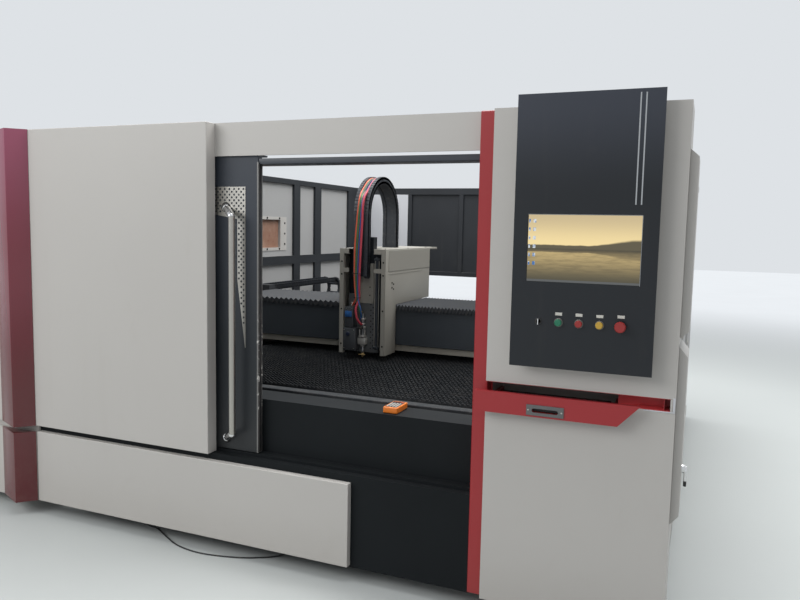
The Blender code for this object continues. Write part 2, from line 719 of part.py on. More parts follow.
def make_front():
    # Left end cabinet with the groove that crosses it, and the ridged trims on its right edge
    cabinet = block("left_end_cabinet", (LEFT_END, LEFT_CABINET_RIGHT),
                    (FRONT, FRONT + LEFT_CABINET_DEPTH), (PANEL_BASE, PANEL_TOP), LIGHT_GREY)
    groove = block("left_groove", (LEFT_END - 0.01, LEFT_CABINET_RIGHT + 0.01),
                   (FRONT - 0.01, FRONT + GROOVE_DEPTH), (GROOVE_LOW, GROOVE_HIGH))
    cut(cabinet, groove)
    back = FRONT - CLEAR
    ridge = [(TRIM_LEFT, back), (LEFT_CABINET_RIGHT, back), (TRIM_RIDGE, FRONT - TRIM_PROUD)]
    extruded("left_trim_upper", [ridge], "Z", (GROOVE_HIGH, PANEL_TOP), WINE)
    extruded("left_trim_lower", [ridge], "Z", (PANEL_BASE, GROOVE_LOW), WINE)
    # White covers
    tray("door_pocket_cover", (LEFT_CABINET_RIGHT + CLEAR, COVER_RIGHT),
         (FRONT, FASCIA_FRONT - CLEAR), (GROOVE_HIGH, PANEL_TOP), LIGHT_GREY, (0, 1, 0))
    tray("lower_front_panel", (LEFT_CABINET_RIGHT + 0.006, LOWER_PANEL_RIGHT),
         (FRONT, DARK_FRONT - CLEAR), (PANEL_BASE, GROOVE_LOW), LIGHT_GREY, (0, 1, 0))
    span = (LEFT_CABINET_RIGHT + CLEAR, STRIPE_LEFT - CLEAR)
    # Dark panel with the sill on its top edge and a flange for the cable at its foot
    sill = GROOVE_HIGH - CLEAR
    path = [(SILL_BACK, LEDGE_LOW + 0.02), (SILL_BACK, SILL_TOP), (SILL_FRONT, SILL_TOP),
            (SILL_FRONT, sill), (DARK_FRONT, sill), (DARK_FRONT, DARK_PANEL_BASE),
            (DARK_FRONT + CABLE_FLANGE, DARK_PANEL_BASE)]
    folded("lower_dark_panel", path, SHEET, "X", span, BLACK)
    # Fascia over the doorway and the rail that carries the leaf
    lip = FASCIA_FRONT + FASCIA_LIP
    path = [(RAIL_WEB_BACK, PANEL_TOP), (FASCIA_FRONT, PANEL_TOP), (FASCIA_FRONT, FASCIA_LOW),
            (lip, FASCIA_LOW)]
    folded("top_fascia", path, SHEET, "X", span, LIGHT_GREY)
    top = PANEL_TOP - SHEET - CLEAR
    rail = [(RAIL_FRONT, RAIL_LOW), (RAIL_WEB_BACK, RAIL_LOW), (RAIL_WEB_BACK, top),
            (FASCIA_FRONT + RAIL_HANGER, top), (FASCIA_FRONT + RAIL_HANGER, top - RAIL_TONGUE),
            (RAIL_WEB_BACK - RAIL_HANGER, top - RAIL_TONGUE), (RAIL_WEB_BACK - RAIL_HANGER, RAIL_HIGH),
            (RAIL_FRONT, RAIL_HIGH)]
    extruded("door_top_rail", [rail], "X", span, BLACK)
    post = block("red_stripe_post", (STRIPE_LEFT, STRIPE_RIGHT), (STRIPE_FRONT, STRIPE_BACK),
                 (DARK_PANEL_BASE + SHEET, CABINET_HIGH - SHEET), RED)
    round_edges(post)
    path = [(LEDGE_FRONT, LEDGE_LOW), (LEDGE_FRONT, LEDGE_TOP), (BED_FRONT - CLEAR, LEDGE_TOP),
            (BED_FRONT - CLEAR, BED_CROSS_TOP - 0.03)]
    folded("front_ledge", path, -SHEET, "X", (span[0] + 0.05, span[1] - 0.02), BLACK)


def make_leaf():
    # The leaf's section: a slab with a hook over the rail
    hook_low = RAIL_HIGH + CLEAR
    section = [(LEAF_FRONT, SILL_TOP + LEAF_GAP), (LEAF_BACK, SILL_TOP + LEAF_GAP),
               (LEAF_BACK, hook_low), (RAIL_BACK, hook_low), (RAIL_BACK, LEAF_HOOK_TOP),
               (LEAF_FRONT, LEAF_HOOK_TOP)]
    leaf = extruded("door_leaf", [section], "X", (LEAF_LEFT, LEAF_RIGHT), DARK_GREY)
    round_edges(leaf, 0.002)
    low = BAR_LOW + STANDOFF_INSET
    high = BAR_HIGH - STANDOFF_INSET
    bar = disc("pull_bar", BAR_RADIUS, (BAR_X, BAR_Y, BAR_LOW), "Z", BAR_HIGH - BAR_LOW, NICKEL)
    for z in (low, high):
        length = STANDOFF_REACH + LEAF_FRONT - CLEAR - BAR_Y
        arm = disc("standoff", BAR_RADIUS * 0.97, (BAR_X, LEAF_FRONT - CLEAR, z), "-Y", length)
        weld(bar, arm)
    outline = [(PLATE_LEFT, PLATE_TOP), (PLATE_LEFT, PLATE_LOW + PLATE_SLANT),
               (PLATE_RIGHT - PLATE_STRIP, PLATE_LOW - PLATE_SLANT),
               (PLATE_RIGHT - PLATE_STRIP, PLATE_TAPER), (PLATE_RIGHT - PLATE_POINT, PLATE_TIP),
               (PLATE_RIGHT, PLATE_TIP), (PLATE_RIGHT, PLATE_TOP)]
    holes = [ring((BAR_X, high), BAR_RADIUS + 0.002, 12)]
    rows = int((PLATE_TOP - PLATE_TIP) / PERFORATION_PITCH)
    for row in range(rows):
        z = PLATE_TOP - (row + 0.8) * PERFORATION_PITCH
        columns = int((PLATE_RIGHT - PLATE_LEFT) / PERFORATION_PITCH)
        for column in range(columns):
            x = PLATE_RIGHT - (column + 0.8) * PERFORATION_PITCH
            odd = (row + column) % 2
            if odd or not on_plate(x, z) or hypot(x - BAR_X, z - high) < BAR_RADIUS + 0.008:
                continue
            holes.append(ring((x, z), PERFORATION, 5))
    extruded("perforated_plate", [outline] + holes, "Y",
             (LEAF_FRONT - CLEAR - PLATE_THICK, LEAF_FRONT - CLEAR), BARE_STEEL)


def on_plate(x, z):
    # Whether a perforation at this place lies inside the plate with its margin
    margin = PERFORATION + 0.0025
    if z > PLATE_LOW + margin + PLATE_SLANT:
        return x > PLATE_LEFT + margin
    left = PLATE_RIGHT - PLATE_STRIP
    if z < PLATE_TAPER:
        left += (PLATE_TAPER - z) / (PLATE_TAPER - PLATE_TIP) * (PLATE_STRIP - PLATE_POINT)
    return left + margin < x


def make_walls():
    # Left wall with its window, and the black posts and rails on its inner face
    hole = rectangle(WINDOW_Y, WINDOW_Z)
    wall = [rectangle((WALL_FRONT, REAR_WALL_INNER), (PANEL_BASE, WALL_TOP)), hole]
    extruded("left_wall", wall, "X", (LEFT_WALL_OUTER, LEFT_WALL_INNER), WALL_GREY)
    inner = LEFT_WALL_INNER + CLEAR
    depth = (inner, inner + FRAME_PROUD)
    run = (WALL_FRONT, REAR_WALL_INNER - CLEAR)
    frame = block("left_wall_frame", depth, run, (MID_RAIL_LOW, MID_RAIL_HIGH), BLACK)
    weld(frame, block("top_rail", depth, run, (WALL_TOP - TOP_RAIL, WALL_TOP)))
    shelf_top = Y_CHAIN_LOW - CLEAR
    for low, high in POSTS:
        post = block("wall_post", depth, (low, high), (shelf_top - CHAIN_SHELF_THICK / 2, WALL_TOP - TOP_RAIL / 2))
        weld(frame, post)
    shelf = block("chain_shelf", (inner, CHAIN_SHELF_REACH), CHAIN_SHELF_SPAN,
                  (shelf_top - CHAIN_SHELF_THICK, shelf_top))
    weld(frame, shelf)
    pane_x = (LEFT_WALL_OUTER + LEFT_WALL_INNER) / 2
    edge = CLEAR
    block("window_pane", (pane_x - PANE_THICK / 2, pane_x + PANE_THICK / 2),
          (WINDOW_Y[0] + edge, WINDOW_Y[1] - edge), (WINDOW_Z[0] + edge, WINDOW_Z[1] - edge), AMBER)
    outer = rectangle((WINDOW_Y[0] - WINDOW_SIDE_BORDER, WINDOW_Y[1] + WINDOW_SIDE_BORDER),
                      (WINDOW_Z[0] - WINDOW_BORDER, WINDOW_Z[1] + WINDOW_BORDER))
    extruded("window_frame", [outer, hole], "X", (inner, inner + SHEET), LIGHT_GREY)
    # Right wall, plain
    wall = block("right_wall", (RIGHT_WALL_INNER, RIGHT_WALL_OUTER),
                 (CABINET_BACK + CLEAR, REAR_WALL_INNER), (PANEL_BASE, WALL_TOP), WALL_GREY)
    round_edges(wall)
    # Rear wall with the exchange opening, ribs round its bays and the top band
    across = (LEFT_WALL_OUTER, RIGHT_WALL_OUTER)
    inside = REAR_WALL_INNER + CLEAR
    opening = rectangle(EXCHANGE_X, EXCHANGE_Z)
    rear = extruded("rear_wall", [rectangle(across, (PANEL_BASE, WALL_TOP)), opening], "Y",
                    (inside + FRAME_PROUD - 0.002, REAR), BLACK)
    bays = []
    left = REAR_BAY_LEFT
    while left + REAR_BAY_PITCH < across[1]:
        right = left + REAR_BAY_PITCH - REAR_RIB
        bays.append(rectangle((left, right), (EXCHANGE_Z[1] + REAR_RIB, WALL_TOP - REAR_TOP_BAND)))
        left += REAR_BAY_PITCH
    ribs = extruded("rear_ribs", [rectangle(across, (EXCHANGE_Z[1], WALL_TOP))] + bays, "Y",
                    (inside, inside + FRAME_PROUD))
    weld(rear, ribs)
    block("rear_white_panel", WHITE_PANEL_X, (REAR_WALL_INNER - SHEET, REAR_WALL_INNER),
          (EXCHANGE_Z[1], WALL_TOP - REAR_TOP_BAND), WALL_GREY)


def make_gantry():
    beam = block("gantry_beam", BEAM_X, BEAM_Y, BEAM_Z, BEIGE)
    for x in Y_RAIL_X:
        half = Y_RAIL_WIDTH / 2 + CLEAR
        outer = half + SADDLE_CHEEK
        low = Y_RAIL_TOP - SADDLE_DROP / 2
        outline = [(x - outer, low), (x - half, low), (x - half, Y_RAIL_TOP + CLEAR),
                   (x + half, Y_RAIL_TOP + CLEAR), (x + half, low), (x + outer, low),
                   (x + outer, BEAM_Z[0] + 0.02), (x - outer, BEAM_Z[0] + 0.02)]
        span = (BEAM_Y[0] - SADDLE_OVERHANG, BEAM_Y[1] + SADDLE_OVERHANG)
        weld(beam, extruded("saddle", [outline], "Y", span))
    arm = block("chain_arm", (Y_CHAIN_X[0], CHAIN_ARM_RIGHT),
                (CHAIN_ARM_FRONT, CHAIN_ARM_FRONT / 4), (BEAM_Z[1] - 0.01, CHAIN_ARM_TOP))
    weld(beam, arm)
    cover_z = (BEAM_Z[0] + COVER_STRIP, BEAM_Z[1])
    cover = block("gantry_front_cover", (BEAM_X[0] + 0.005, BEAM_X[1] - 0.005),
                  (BEAM_Y[0] - CLEAR - GANTRY_COVER_THICK, BEAM_Y[0] - CLEAR), cover_z, BLACK)
    round_edges(cover)
    bellows("bellows_left", (CHAIN_ARM_RIGHT + CLEAR, CARRIAGE_X[0] - CLEAR))
    bellows("bellows_right", (CARRIAGE_X[1] + CLEAR, BEAM_X[1] - 0.005))
    radius = (Y_CHAIN_HIGH - Y_CHAIN_LOW - CHAIN_BAND) / 2
    lower = Y_CHAIN_LOW + CHAIN_BAND / 2
    bend = Y_CHAIN_BEND - CHAIN_BAND / 2 - radius
    first = bend - Y_CHAIN_START
    second = bend - (CHAIN_ARM_FRONT / 4 + CLEAR)
    length, place_at = hairpin(first, radius, second, (Y_CHAIN_START, lower), (1.0, 0.0), 1)
    outline = chain_outline(length, place_at, CHAIN_BAND, CHAIN_LINK, CHAIN_NOTCH)
    extruded("y_chain", [outline], "X", Y_CHAIN_X, RUBBER)


def bellows(name, x):
    # Pleats lofted along X between wide sections at the ridges and narrow ones in the valleys
    pleats = round((x[1] - x[0]) / PLEAT_PITCH)
    step = (x[1] - x[0]) / pleats / 2
    low = BEAM_Z[1] + CLEAR
    form = bmesh.new()
    loops = []
    for k in range(2 * pleats + 1):
        fold = 0.0 if k % 2 == 0 else 1.0
        front = BELLOWS_FRONT + BELLOWS_FOLD * (1 - fold)
        back = BELLOWS_BACK - BELLOWS_FOLD * (1 - fold)
        high = BELLOWS_LOW + (BELLOWS_HIGH - BELLOWS_LOW) * fold
        place = x[0] + k * step
        corners = ((front, low), (back, low), (back, high), (front, high))
        loops.append([form.verts.new((place, y, z)) for y, z in corners])
    for a, b in zip(loops, loops[1:]):
        for i in range(4):
            j = (i + 1) % 4
            form.faces.new((a[i], a[j], b[j], b[i]))
    form.faces.new(loops[0])
    form.faces.new(loops[-1])
    bmesh.ops.recalc_face_normals(form, faces=form.faces)
    mesh = bpy.data.meshes.new(name)
    form.to_mesh(mesh)
    form.free()
    add(name, mesh, RUBBER)


def make_carriage():
    # A sheet metal housing whose two legs reach down in front of the beam, open at the front
    side = [(CARRIAGE_FRONT, LEG_TIP), (LEG_BACK, LEG_TIP), (LEG_BACK, CARRIAGE_FLOOR),
            (CARRIAGE_BACK, CARRIAGE_FLOOR), (CARRIAGE_BACK, BACK_FLANGE_LOW),
            (CARRIAGE_BACK + BACK_FLANGE, BACK_FLANGE_LOW), (CARRIAGE_BACK + BACK_FLANGE, CARRIAGE_TOP),
            (CARRIAGE_FRONT, CARRIAGE_TOP)]
    skin = CARRIAGE_SKIN
    housing = extruded("carriage_frame", [side], "X", CARRIAGE_X, BEIGE)
    room = [(CARRIAGE_FRONT + POST_DEPTH, LEG_TIP - 0.02), (LEG_BACK - skin, LEG_TIP - 0.02),
            (LEG_BACK - skin, CARRIAGE_FLOOR + skin), (CARRIAGE_BACK - skin, CARRIAGE_FLOOR + skin),
            (CARRIAGE_BACK - skin, CARRIAGE_TOP - skin), (CARRIAGE_FRONT + POST_DEPTH, CARRIAGE_TOP - skin)]
    inner = (CARRIAGE_X[0] + skin, CARRIAGE_X[1] - skin)
    between = (CARRIAGE_X[0] + POST_WIDTH, CARRIAGE_X[1] - POST_WIDTH)
    depth = (CARRIAGE_FRONT - 0.02, CARRIAGE_FRONT + POST_DEPTH + 0.01)
    cut(housing, extruded("room", [room], "X", inner))
    cut(housing, block("low_window", between, depth, (LEG_TIP - 0.02, FRONT_BAR[0])))
    cut(housing, block("high_window", between, depth, (FRONT_BAR[1], FRONT_BAR_TOP)))
    cut(housing, block("chain_pass", CHAIN_PASS, (CARRIAGE_FRONT - 0.02, LEG_BACK),
                       (FRONT_BAR[0] - 0.02, CARRIAGE_TOP + 0.02)))
    saddle = block("carriage_saddle", CARRIAGE_X, CARRIAGE_SADDLE_Y,
                   (BEAM_Z[1] + CLEAR, CARRIAGE_FLOOR + skin / 2))
    weld(housing, saddle)
    column = block("z_column", COLUMN_X, (COLUMN_FRONT, LEG_BACK - skin - CLEAR),
                   (COLUMN_LOW, COLUMN_TOP), BLACK)
    guide_x = (COLUMN_X[1] - 0.03, COLUMN_X[1] - 0.005)
    weld(column, block("guide_rib", guide_x, (COLUMN_FRONT - 0.012, COLUMN_FRONT + 0.01),
                       (COLUMN_LOW + 0.01, COLUMN_TOP - 0.06)))
    weld(column, block("z_motor", MOTOR_X, MOTOR_Y, (COLUMN_TOP - 0.01, MOTOR_TOP)))
    make_arch()


def make_arch():
    # The hose chain rises from the head, turns over and comes down to the housing's top
    radius = (ARCH_REAR - ARCH_FRONT - ARCH_BAND) / 2
    turn_z = ARCH_TOP - ARCH_BAND / 2 - radius
    start = (ARCH_FRONT + ARCH_BAND / 2, ARCH_END)
    length, place_at = hairpin(turn_z - ARCH_END, radius, turn_z - CARRIAGE_TOP - CLEAR, start, (0.0, 1.0), -1)
    outline = chain_outline(length, place_at, ARCH_BAND, CHAIN_LINK, CHAIN_NOTCH)
    arch = extruded("hose_arch", [outline], "X", ARCH_X, RUBBER)
    # Open channel for the hoses on its outer side, between two flanges
    straight = turn_z - ARCH_END
    marks = [-ARCH_BAND] + [straight + pi * radius * k / ARCH_BEND_STEPS for k in range(ARCH_BEND_STEPS + 1)]
    path = [place_at(mark) for mark in marks + [length + ARCH_BAND]]
    floor = [tuple(spot) for spot, normal in path]
    past = [tuple(spot - normal * ARCH_BAND) for spot, normal in reversed(path)]
    cut(arch, extruded("hose_channel", [floor + past], "X",
                       (ARCH_X[0] + ARCH_FLANGE, ARCH_X[1] - ARCH_FLANGE)))


def make_head():
    block("z_plate", Z_PLATE_X, (Z_PLATE_FRONT, Z_PLATE_BACK), Z_PLATE_Z, BARE_STEEL)
    front = ARCH_FRONT + ARCH_BAND + CLEAR
    back = Z_PLATE_FRONT - CLEAR
    path = [(TAN_X[1], front - TAN_FOLD), (TAN_X[1], back), (TAN_X[0], back)]
    folded("head_tan_plate", path, back - front, "Z", TAN_Z, BEIGE)
    head = block("head_body", HEAD_X, (back - HEAD_DEPTH, back), HEAD_Z, DARK_GREY)
    round_edges(head)
    half = SENSOR_WIDTH / 2
    sensor = block("head_sensor", (NOZZLE_X - half, NOZZLE_X + half), (back - 0.045, back), SENSOR_Z, BARE_STEEL)
    bore = disc("sensor_bore", COLUMN_RADIUS + CLEAR, (NOZZLE_X, NOZZLE_Y, SENSOR_Z[0] - 0.01), "Z",
                SENSOR_Z[1] - SENSOR_Z[0] + 0.02)
    cut(sensor, bore)
    rise = NOZZLE_TOP - NOZZLE_TIP
    profile = [(0, 0), (0.0018, 0), (0.006, 0.014), (0.009, 0.018), (COLUMN_RADIUS, 0.024),
               (COLUMN_RADIUS, rise * 0.62), (0.015, rise * 0.64), (0.015, rise * 0.72),
               (COLUMN_RADIUS, rise * 0.75), (COLUMN_RADIUS, rise), (0, rise)]
    turned("nozzle", profile, (NOZZLE_X, NOZZLE_Y, NOZZLE_TIP), "Z", BARE_STEEL, 16)


def make_cabinet():
    cabinet = block("console_cabinet", (CABINET_LEFT, RIGHT_SIDE), (FRONT, CABINET_BACK),
                    (CABINET_LOW, CABINET_HIGH), LIGHT_GREY)
    # Cut-out for the drawer, with the slanted end that the drawer's front has
    low = DRAWER_Z[0] - 0.003
    slope = (DRAWER_RIGHT - DRAWER_LOW_RIGHT) / (DRAWER_Z[1] - DRAWER_Z[0])
    slant = DRAWER_LOW_RIGHT + 0.003 + (SLOT_RIM - low) * slope
    left = CABINET_LEFT - 0.02
    outline = [(left, low), (DRAWER_LOW_RIGHT + 0.003, low), (slant, SLOT_RIM), (SLOT_RIGHT, SLOT_RIM),
               (SLOT_RIGHT, SLOT_HIGH), (left, SLOT_HIGH)]
    depth = FRONT + SLOT_DEPTH
    cut(cabinet, extruded("drawer_cut_out", [outline], "Y", (FRONT - 0.01, depth)))
    cavity_x = (TRAY_X[0] - CLEAR, TRAY_X[1] + CLEAR)
    cut(cabinet, block("drawer_cavity", cavity_x, (depth - 0.01, CABINET_BACK - 0.015), CAVITY_Z))
    margin = COMPARTMENT_MARGIN
    cut(cabinet, block("compartment", (RIGHT_SIDE - COMPARTMENT_DEPTH, RIGHT_SIDE + 0.01),
                       (SIDE_COVER_Y[0] + margin, SIDE_COVER_Y[1] - margin), COMPARTMENT_Z))
    # Red lining of the cut-out: a thin shell with the way through to the tray
    gap = CLEAR
    left = CABINET_LEFT + gap
    outer = [(left, low + gap), (DRAWER_LOW_RIGHT + 0.0025, low + gap), (slant - gap, SLOT_RIM + gap),
             (SLOT_RIGHT - gap, SLOT_RIM + gap), (SLOT_RIGHT - gap, SLOT_HIGH - gap), (left, SLOT_HIGH - gap)]
    wall = 0.002
    inner = [(left - 0.01, low + wall), (DRAWER_LOW_RIGHT + 0.0015, low + wall), (slant - wall, SLOT_RIM + wall),
             (SLOT_RIGHT - wall, SLOT_RIM + wall), (SLOT_RIGHT - wall, SLOT_HIGH - wall),
             (left - 0.01, SLOT_HIGH - wall)]
    lining = extruded("drawer_slot_lining", [outer], "Y", (FRONT + 0.002, depth - gap), RED)
    cut(lining, extruded("lining_room", [inner], "Y", (FRONT - 0.01, depth - gap - wall)))
    cut(lining, block("tray_way", (cavity_x[0], cavity_x[1]), (FRONT + 0.03, depth + 0.01),
                      (low + wall, SLOT_HIGH - wall)))
    make_drawer()
    make_side_covers()


def make_drawer():
    # Red front with its slanted end, and the keyboard tray behind it as one folded piece
    face = [(DRAWER_LEFT, DRAWER_Z[0]), (DRAWER_LOW_RIGHT, DRAWER_Z[0]), (DRAWER_RIGHT, DRAWER_Z[1]),
            (DRAWER_LEFT, DRAWER_Z[1])]
    grip = ((PULL_X[0] + PULL_X[1]) / 2, (PULL_Z[0] + PULL_Z[1]) / 2 - 0.001)
    finger = stadium(grip, FINGER_LENGTH, FINGER_HEIGHT)
    front = (DRAWER_FRONT, DRAWER_FRONT + DRAWER_FACE)
    drawer = extruded("drawer", [face, finger], "Y", front, RED)
    tray_x = (TRAY_X[0] + 0.004, TRAY_X[1] - 0.004)
    span = (front[1] - 0.002, front[1] + TRAY_DEPTH)
    low = CAVITY_Z[0] + CLEAR
    sheet = 0.0025
    path = [(tray_x[0], low), (tray_x[0], TRAY_FLOOR + 0.02), (tray_x[0] + 0.012, TRAY_FLOOR + 0.02),
            (tray_x[0] + 0.012, TRAY_FLOOR), (tray_x[1] - 0.012, TRAY_FLOOR),
            (tray_x[1] - 0.012, TRAY_FLOOR + 0.02), (tray_x[1], TRAY_FLOOR + 0.02), (tray_x[1], low)]
    weld(drawer, folded("drawer_tray", path, -sheet, "Y", span, RED))
    inner = stadium(grip, FINGER_LENGTH - 0.002, FINGER_HEIGHT - 0.002)
    outer = rectangle(PULL_X, PULL_Z)
    extruded("drawer_pull", [outer, inner], "Y",
             (DRAWER_FRONT - PULL_PROUD, DRAWER_FRONT - CLEAR), BARE_STEEL)
    seat = TRAY_FLOOR + CLEAR
    keys = block("keyboard", KEYBOARD_X, (front[1] + 0.02, front[1] + 0.02 + KEYBOARD_DEPTH),
                 (seat, seat + KEYBOARD_HEIGHT), BLACK)
    round_edges(keys, 0.002)


def make_side_covers():
    # Raised covers on the cabinet's right side; the lower one is a hinged door with a lever
    x = (RIGHT_SIDE + CLEAR, RIGHT_SIDE + CLEAR + SIDE_COVER_DEPTH)
    a, b = SIDE_COVER_Y
    across, down = UPPER_CHAMFER
    low, high = UPPER_COVER_Z
    outline = [(a, low), (b, low), (b, high), (a + across, high), (a, high - down)]
    round_edges(extruded("side_cover_upper", [outline], "X", x, LIGHT_GREY), 0.002)
    across, down = LOWER_CHAMFER
    low, high = SIDE_DOOR_Z
    outline = [(a + across, low), (b, low), (b, high), (a, high), (a, low + down)]
    round_edges(extruded("side_door", [outline], "X", x, LIGHT_GREY), 0.002)
    # Lever: a round boss on the door with a tapering grip below it
    face = x[1] + CLEAR
    pivot = LEVER_Z[1] - 0.012
    boss = disc("side_door_handle", 0.012, (face, LEVER_Y, pivot), "X", LEVER_REACH, CHROME)
    grip = [(LEVER_Y - 0.009, pivot), (LEVER_Y - 0.006, LEVER_Z[0]), (LEVER_Y + 0.006, LEVER_Z[0]),
            (LEVER_Y + 0.009, pivot)]
    weld(boss, extruded("lever", [grip], "X", (face + LEVER_REACH * 0.45, face + LEVER_REACH - 0.001)))


def make_console():
    inset = HOUSING_INSET
    x = (CONSOLE_X[0] + inset, CONSOLE_X[1] - inset)
    z = (CONSOLE_Z[0] + inset, CONSOLE_Z[1] - inset)
    tray("console_housing", x, (HOUSING_FRONT, FRONT - CLEAR), z, LIGHT_GREY, (0, -1, 0))
    spots = [FIRST_CONTROL + k * CONTROL_PITCH for k in range(5)]
    holes = [rectangle(SCREEN_X, SCREEN_Z), ring((spots[0], CONTROL_Z), KEY_RADIUS + CLEAR, 16)]
    for spot in spots[1:]:
        holes.append(ring((spot, CONTROL_Z), SHAFT_RADIUS + CLEAR, 16))
    extruded("console_plate", [rectangle(CONSOLE_X, CONSOLE_Z)] + holes, "Y",
             (PLATE_PLANE, PLATE_PLANE + SHEET), DARK_GREY)
    edge = CLEAR
    block("console_screen", (SCREEN_X[0] + edge, SCREEN_X[1] - edge),
          (PLATE_PLANE + SCREEN_PROUD, PLATE_PLANE + SCREEN_PROUD + SCREEN_DEPTH),
          (SCREEN_Z[0] + edge, SCREEN_Z[1] - edge), SCREEN)
    paints = (("green_button", GREEN), ("red_button", BRIGHT_RED), ("yellow_button", YELLOW))
    for (name, paint), spot in zip(paints, spots[1:]):
        cap = BUTTON_BACK - BUTTON_FRONT
        profile = [(0, 0), (SHAFT_RADIUS, 0), (SHAFT_RADIUS, SHAFT_END - BUTTON_BACK),
                   (BUTTON_RADIUS, SHAFT_END - BUTTON_BACK),
                   (BUTTON_RADIUS, SHAFT_END - BUTTON_BACK + cap * 0.75),
                   (BUTTON_RADIUS * 0.85, SHAFT_END - BUTTON_FRONT), (0, SHAFT_END - BUTTON_FRONT)]
        turned(name, profile, (spot, SHAFT_END, CONTROL_Z), "-Y", paint)
    neck = SHAFT_END - ESTOP_BACK
    cap = ESTOP_BACK - ESTOP_FRONT
    profile = [(0, 0), (SHAFT_RADIUS, 0), (SHAFT_RADIUS, neck), (ESTOP_RADIUS * 0.8, neck),
               (ESTOP_RADIUS, neck + cap * 0.35), (ESTOP_RADIUS, neck + cap * 0.7),
               (ESTOP_RADIUS * 0.85, neck + cap), (0, neck + cap)]
    turned("emergency_stop", profile, (spots[4], SHAFT_END, CONTROL_Z), "-Y", BRIGHT_RED, 20)
    length, thick, reach = KEY_BLADE
    barrel = disc("key_switch", KEY_RADIUS, (spots[0], SHAFT_END, CONTROL_Z), "-Y",
                  SHAFT_END - PLATE_PLANE + 0.004, CHROME)
    blade = block("key_blade", (spots[0] - thick / 2, spots[0] + thick / 2),
                  (PLATE_PLANE - 0.003 - reach, PLATE_PLANE - 0.003),
                  (CONTROL_Z - length / 2, CONTROL_Z + length / 2))
    weld(barrel, blade)


def make_loose_things():
    x, y = REMOTE_CENTRE
    wide, long, tall = REMOTE_SIZE
    low = LEDGE_TOP + CLEAR
    shape = block("remote_control", (x - wide / 2, x + wide / 2), (y - long / 2, y + long / 2),
                  (low, low + tall), ORANGE)
    round_edges(shape, 0.005, 2)
    tube("floor_cable", smooth_route(CABLE_ROUTE, CABLE_STEP), CABLE_RADIUS, RUBBER)


make_bed()
make_hopper()
make_table()
make_front()
make_leaf()
make_walls()
make_gantry()
make_carriage()
make_head()
make_cabinet()
make_console()
make_loose_things()
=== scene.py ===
import json
from math import ceil, cos, hypot, pi, radians, sin

import bmesh
import bpy
from mathutils import Matrix, Vector


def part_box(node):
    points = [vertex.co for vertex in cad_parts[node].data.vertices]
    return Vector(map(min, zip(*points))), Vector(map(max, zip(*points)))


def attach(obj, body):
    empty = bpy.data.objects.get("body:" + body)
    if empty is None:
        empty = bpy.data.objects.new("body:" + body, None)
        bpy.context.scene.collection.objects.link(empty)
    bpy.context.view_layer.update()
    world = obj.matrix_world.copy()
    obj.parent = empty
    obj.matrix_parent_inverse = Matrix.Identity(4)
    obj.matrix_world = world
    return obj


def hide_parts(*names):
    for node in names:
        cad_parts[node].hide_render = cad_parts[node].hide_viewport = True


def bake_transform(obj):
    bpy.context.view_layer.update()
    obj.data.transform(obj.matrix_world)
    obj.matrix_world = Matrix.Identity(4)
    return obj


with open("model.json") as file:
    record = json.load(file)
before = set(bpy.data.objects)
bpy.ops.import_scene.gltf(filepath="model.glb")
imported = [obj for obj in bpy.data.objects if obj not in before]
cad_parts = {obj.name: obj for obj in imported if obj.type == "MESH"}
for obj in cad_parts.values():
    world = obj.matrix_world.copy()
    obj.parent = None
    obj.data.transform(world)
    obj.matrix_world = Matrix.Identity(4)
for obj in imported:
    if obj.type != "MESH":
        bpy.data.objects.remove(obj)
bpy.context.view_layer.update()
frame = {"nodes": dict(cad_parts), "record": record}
NODES = frame["nodes"]
SCENE = bpy.context.scene


# ---------------------------------------------------------------- camera, floor and light

def make_camera():
    """The photo's camera, from its place, turns and focal length."""
    lens = bpy.data.cameras.new("camera")
    lens.sensor_width, lens.lens, lens.clip_end = 36.0, 32.91, 60.0
    camera = bpy.data.objects.new("camera", lens)
    SCENE.collection.objects.link(camera)
    yaw, pitch, roll = radians(22.62), radians(5.63), radians(1.15)
    turn = Matrix.Rotation(yaw, 4, "Z") @ Matrix.Rotation(pi / 2 - pitch, 4, "X") @ Matrix.Rotation(roll, 4, "Z")
    camera.matrix_world = Matrix.Translation((1.99, -4.70, 1.58)) @ turn
    SCENE.camera = camera


def make_light(name, place, aim, size, power):
    lamp = bpy.data.lights.new(name, "AREA")
    lamp.shape = "RECTANGLE"
    lamp.size, lamp.size_y = size
    lamp.energy = power
    holder = bpy.data.objects.new(name, lamp)
    holder.location = place
    holder.rotation_euler = (Vector(aim) - Vector(place)).to_track_quat("-Z", "Y").to_euler()
    SCENE.collection.objects.link(holder)


# ---------------------------------------------------------------- node trees written as expressions

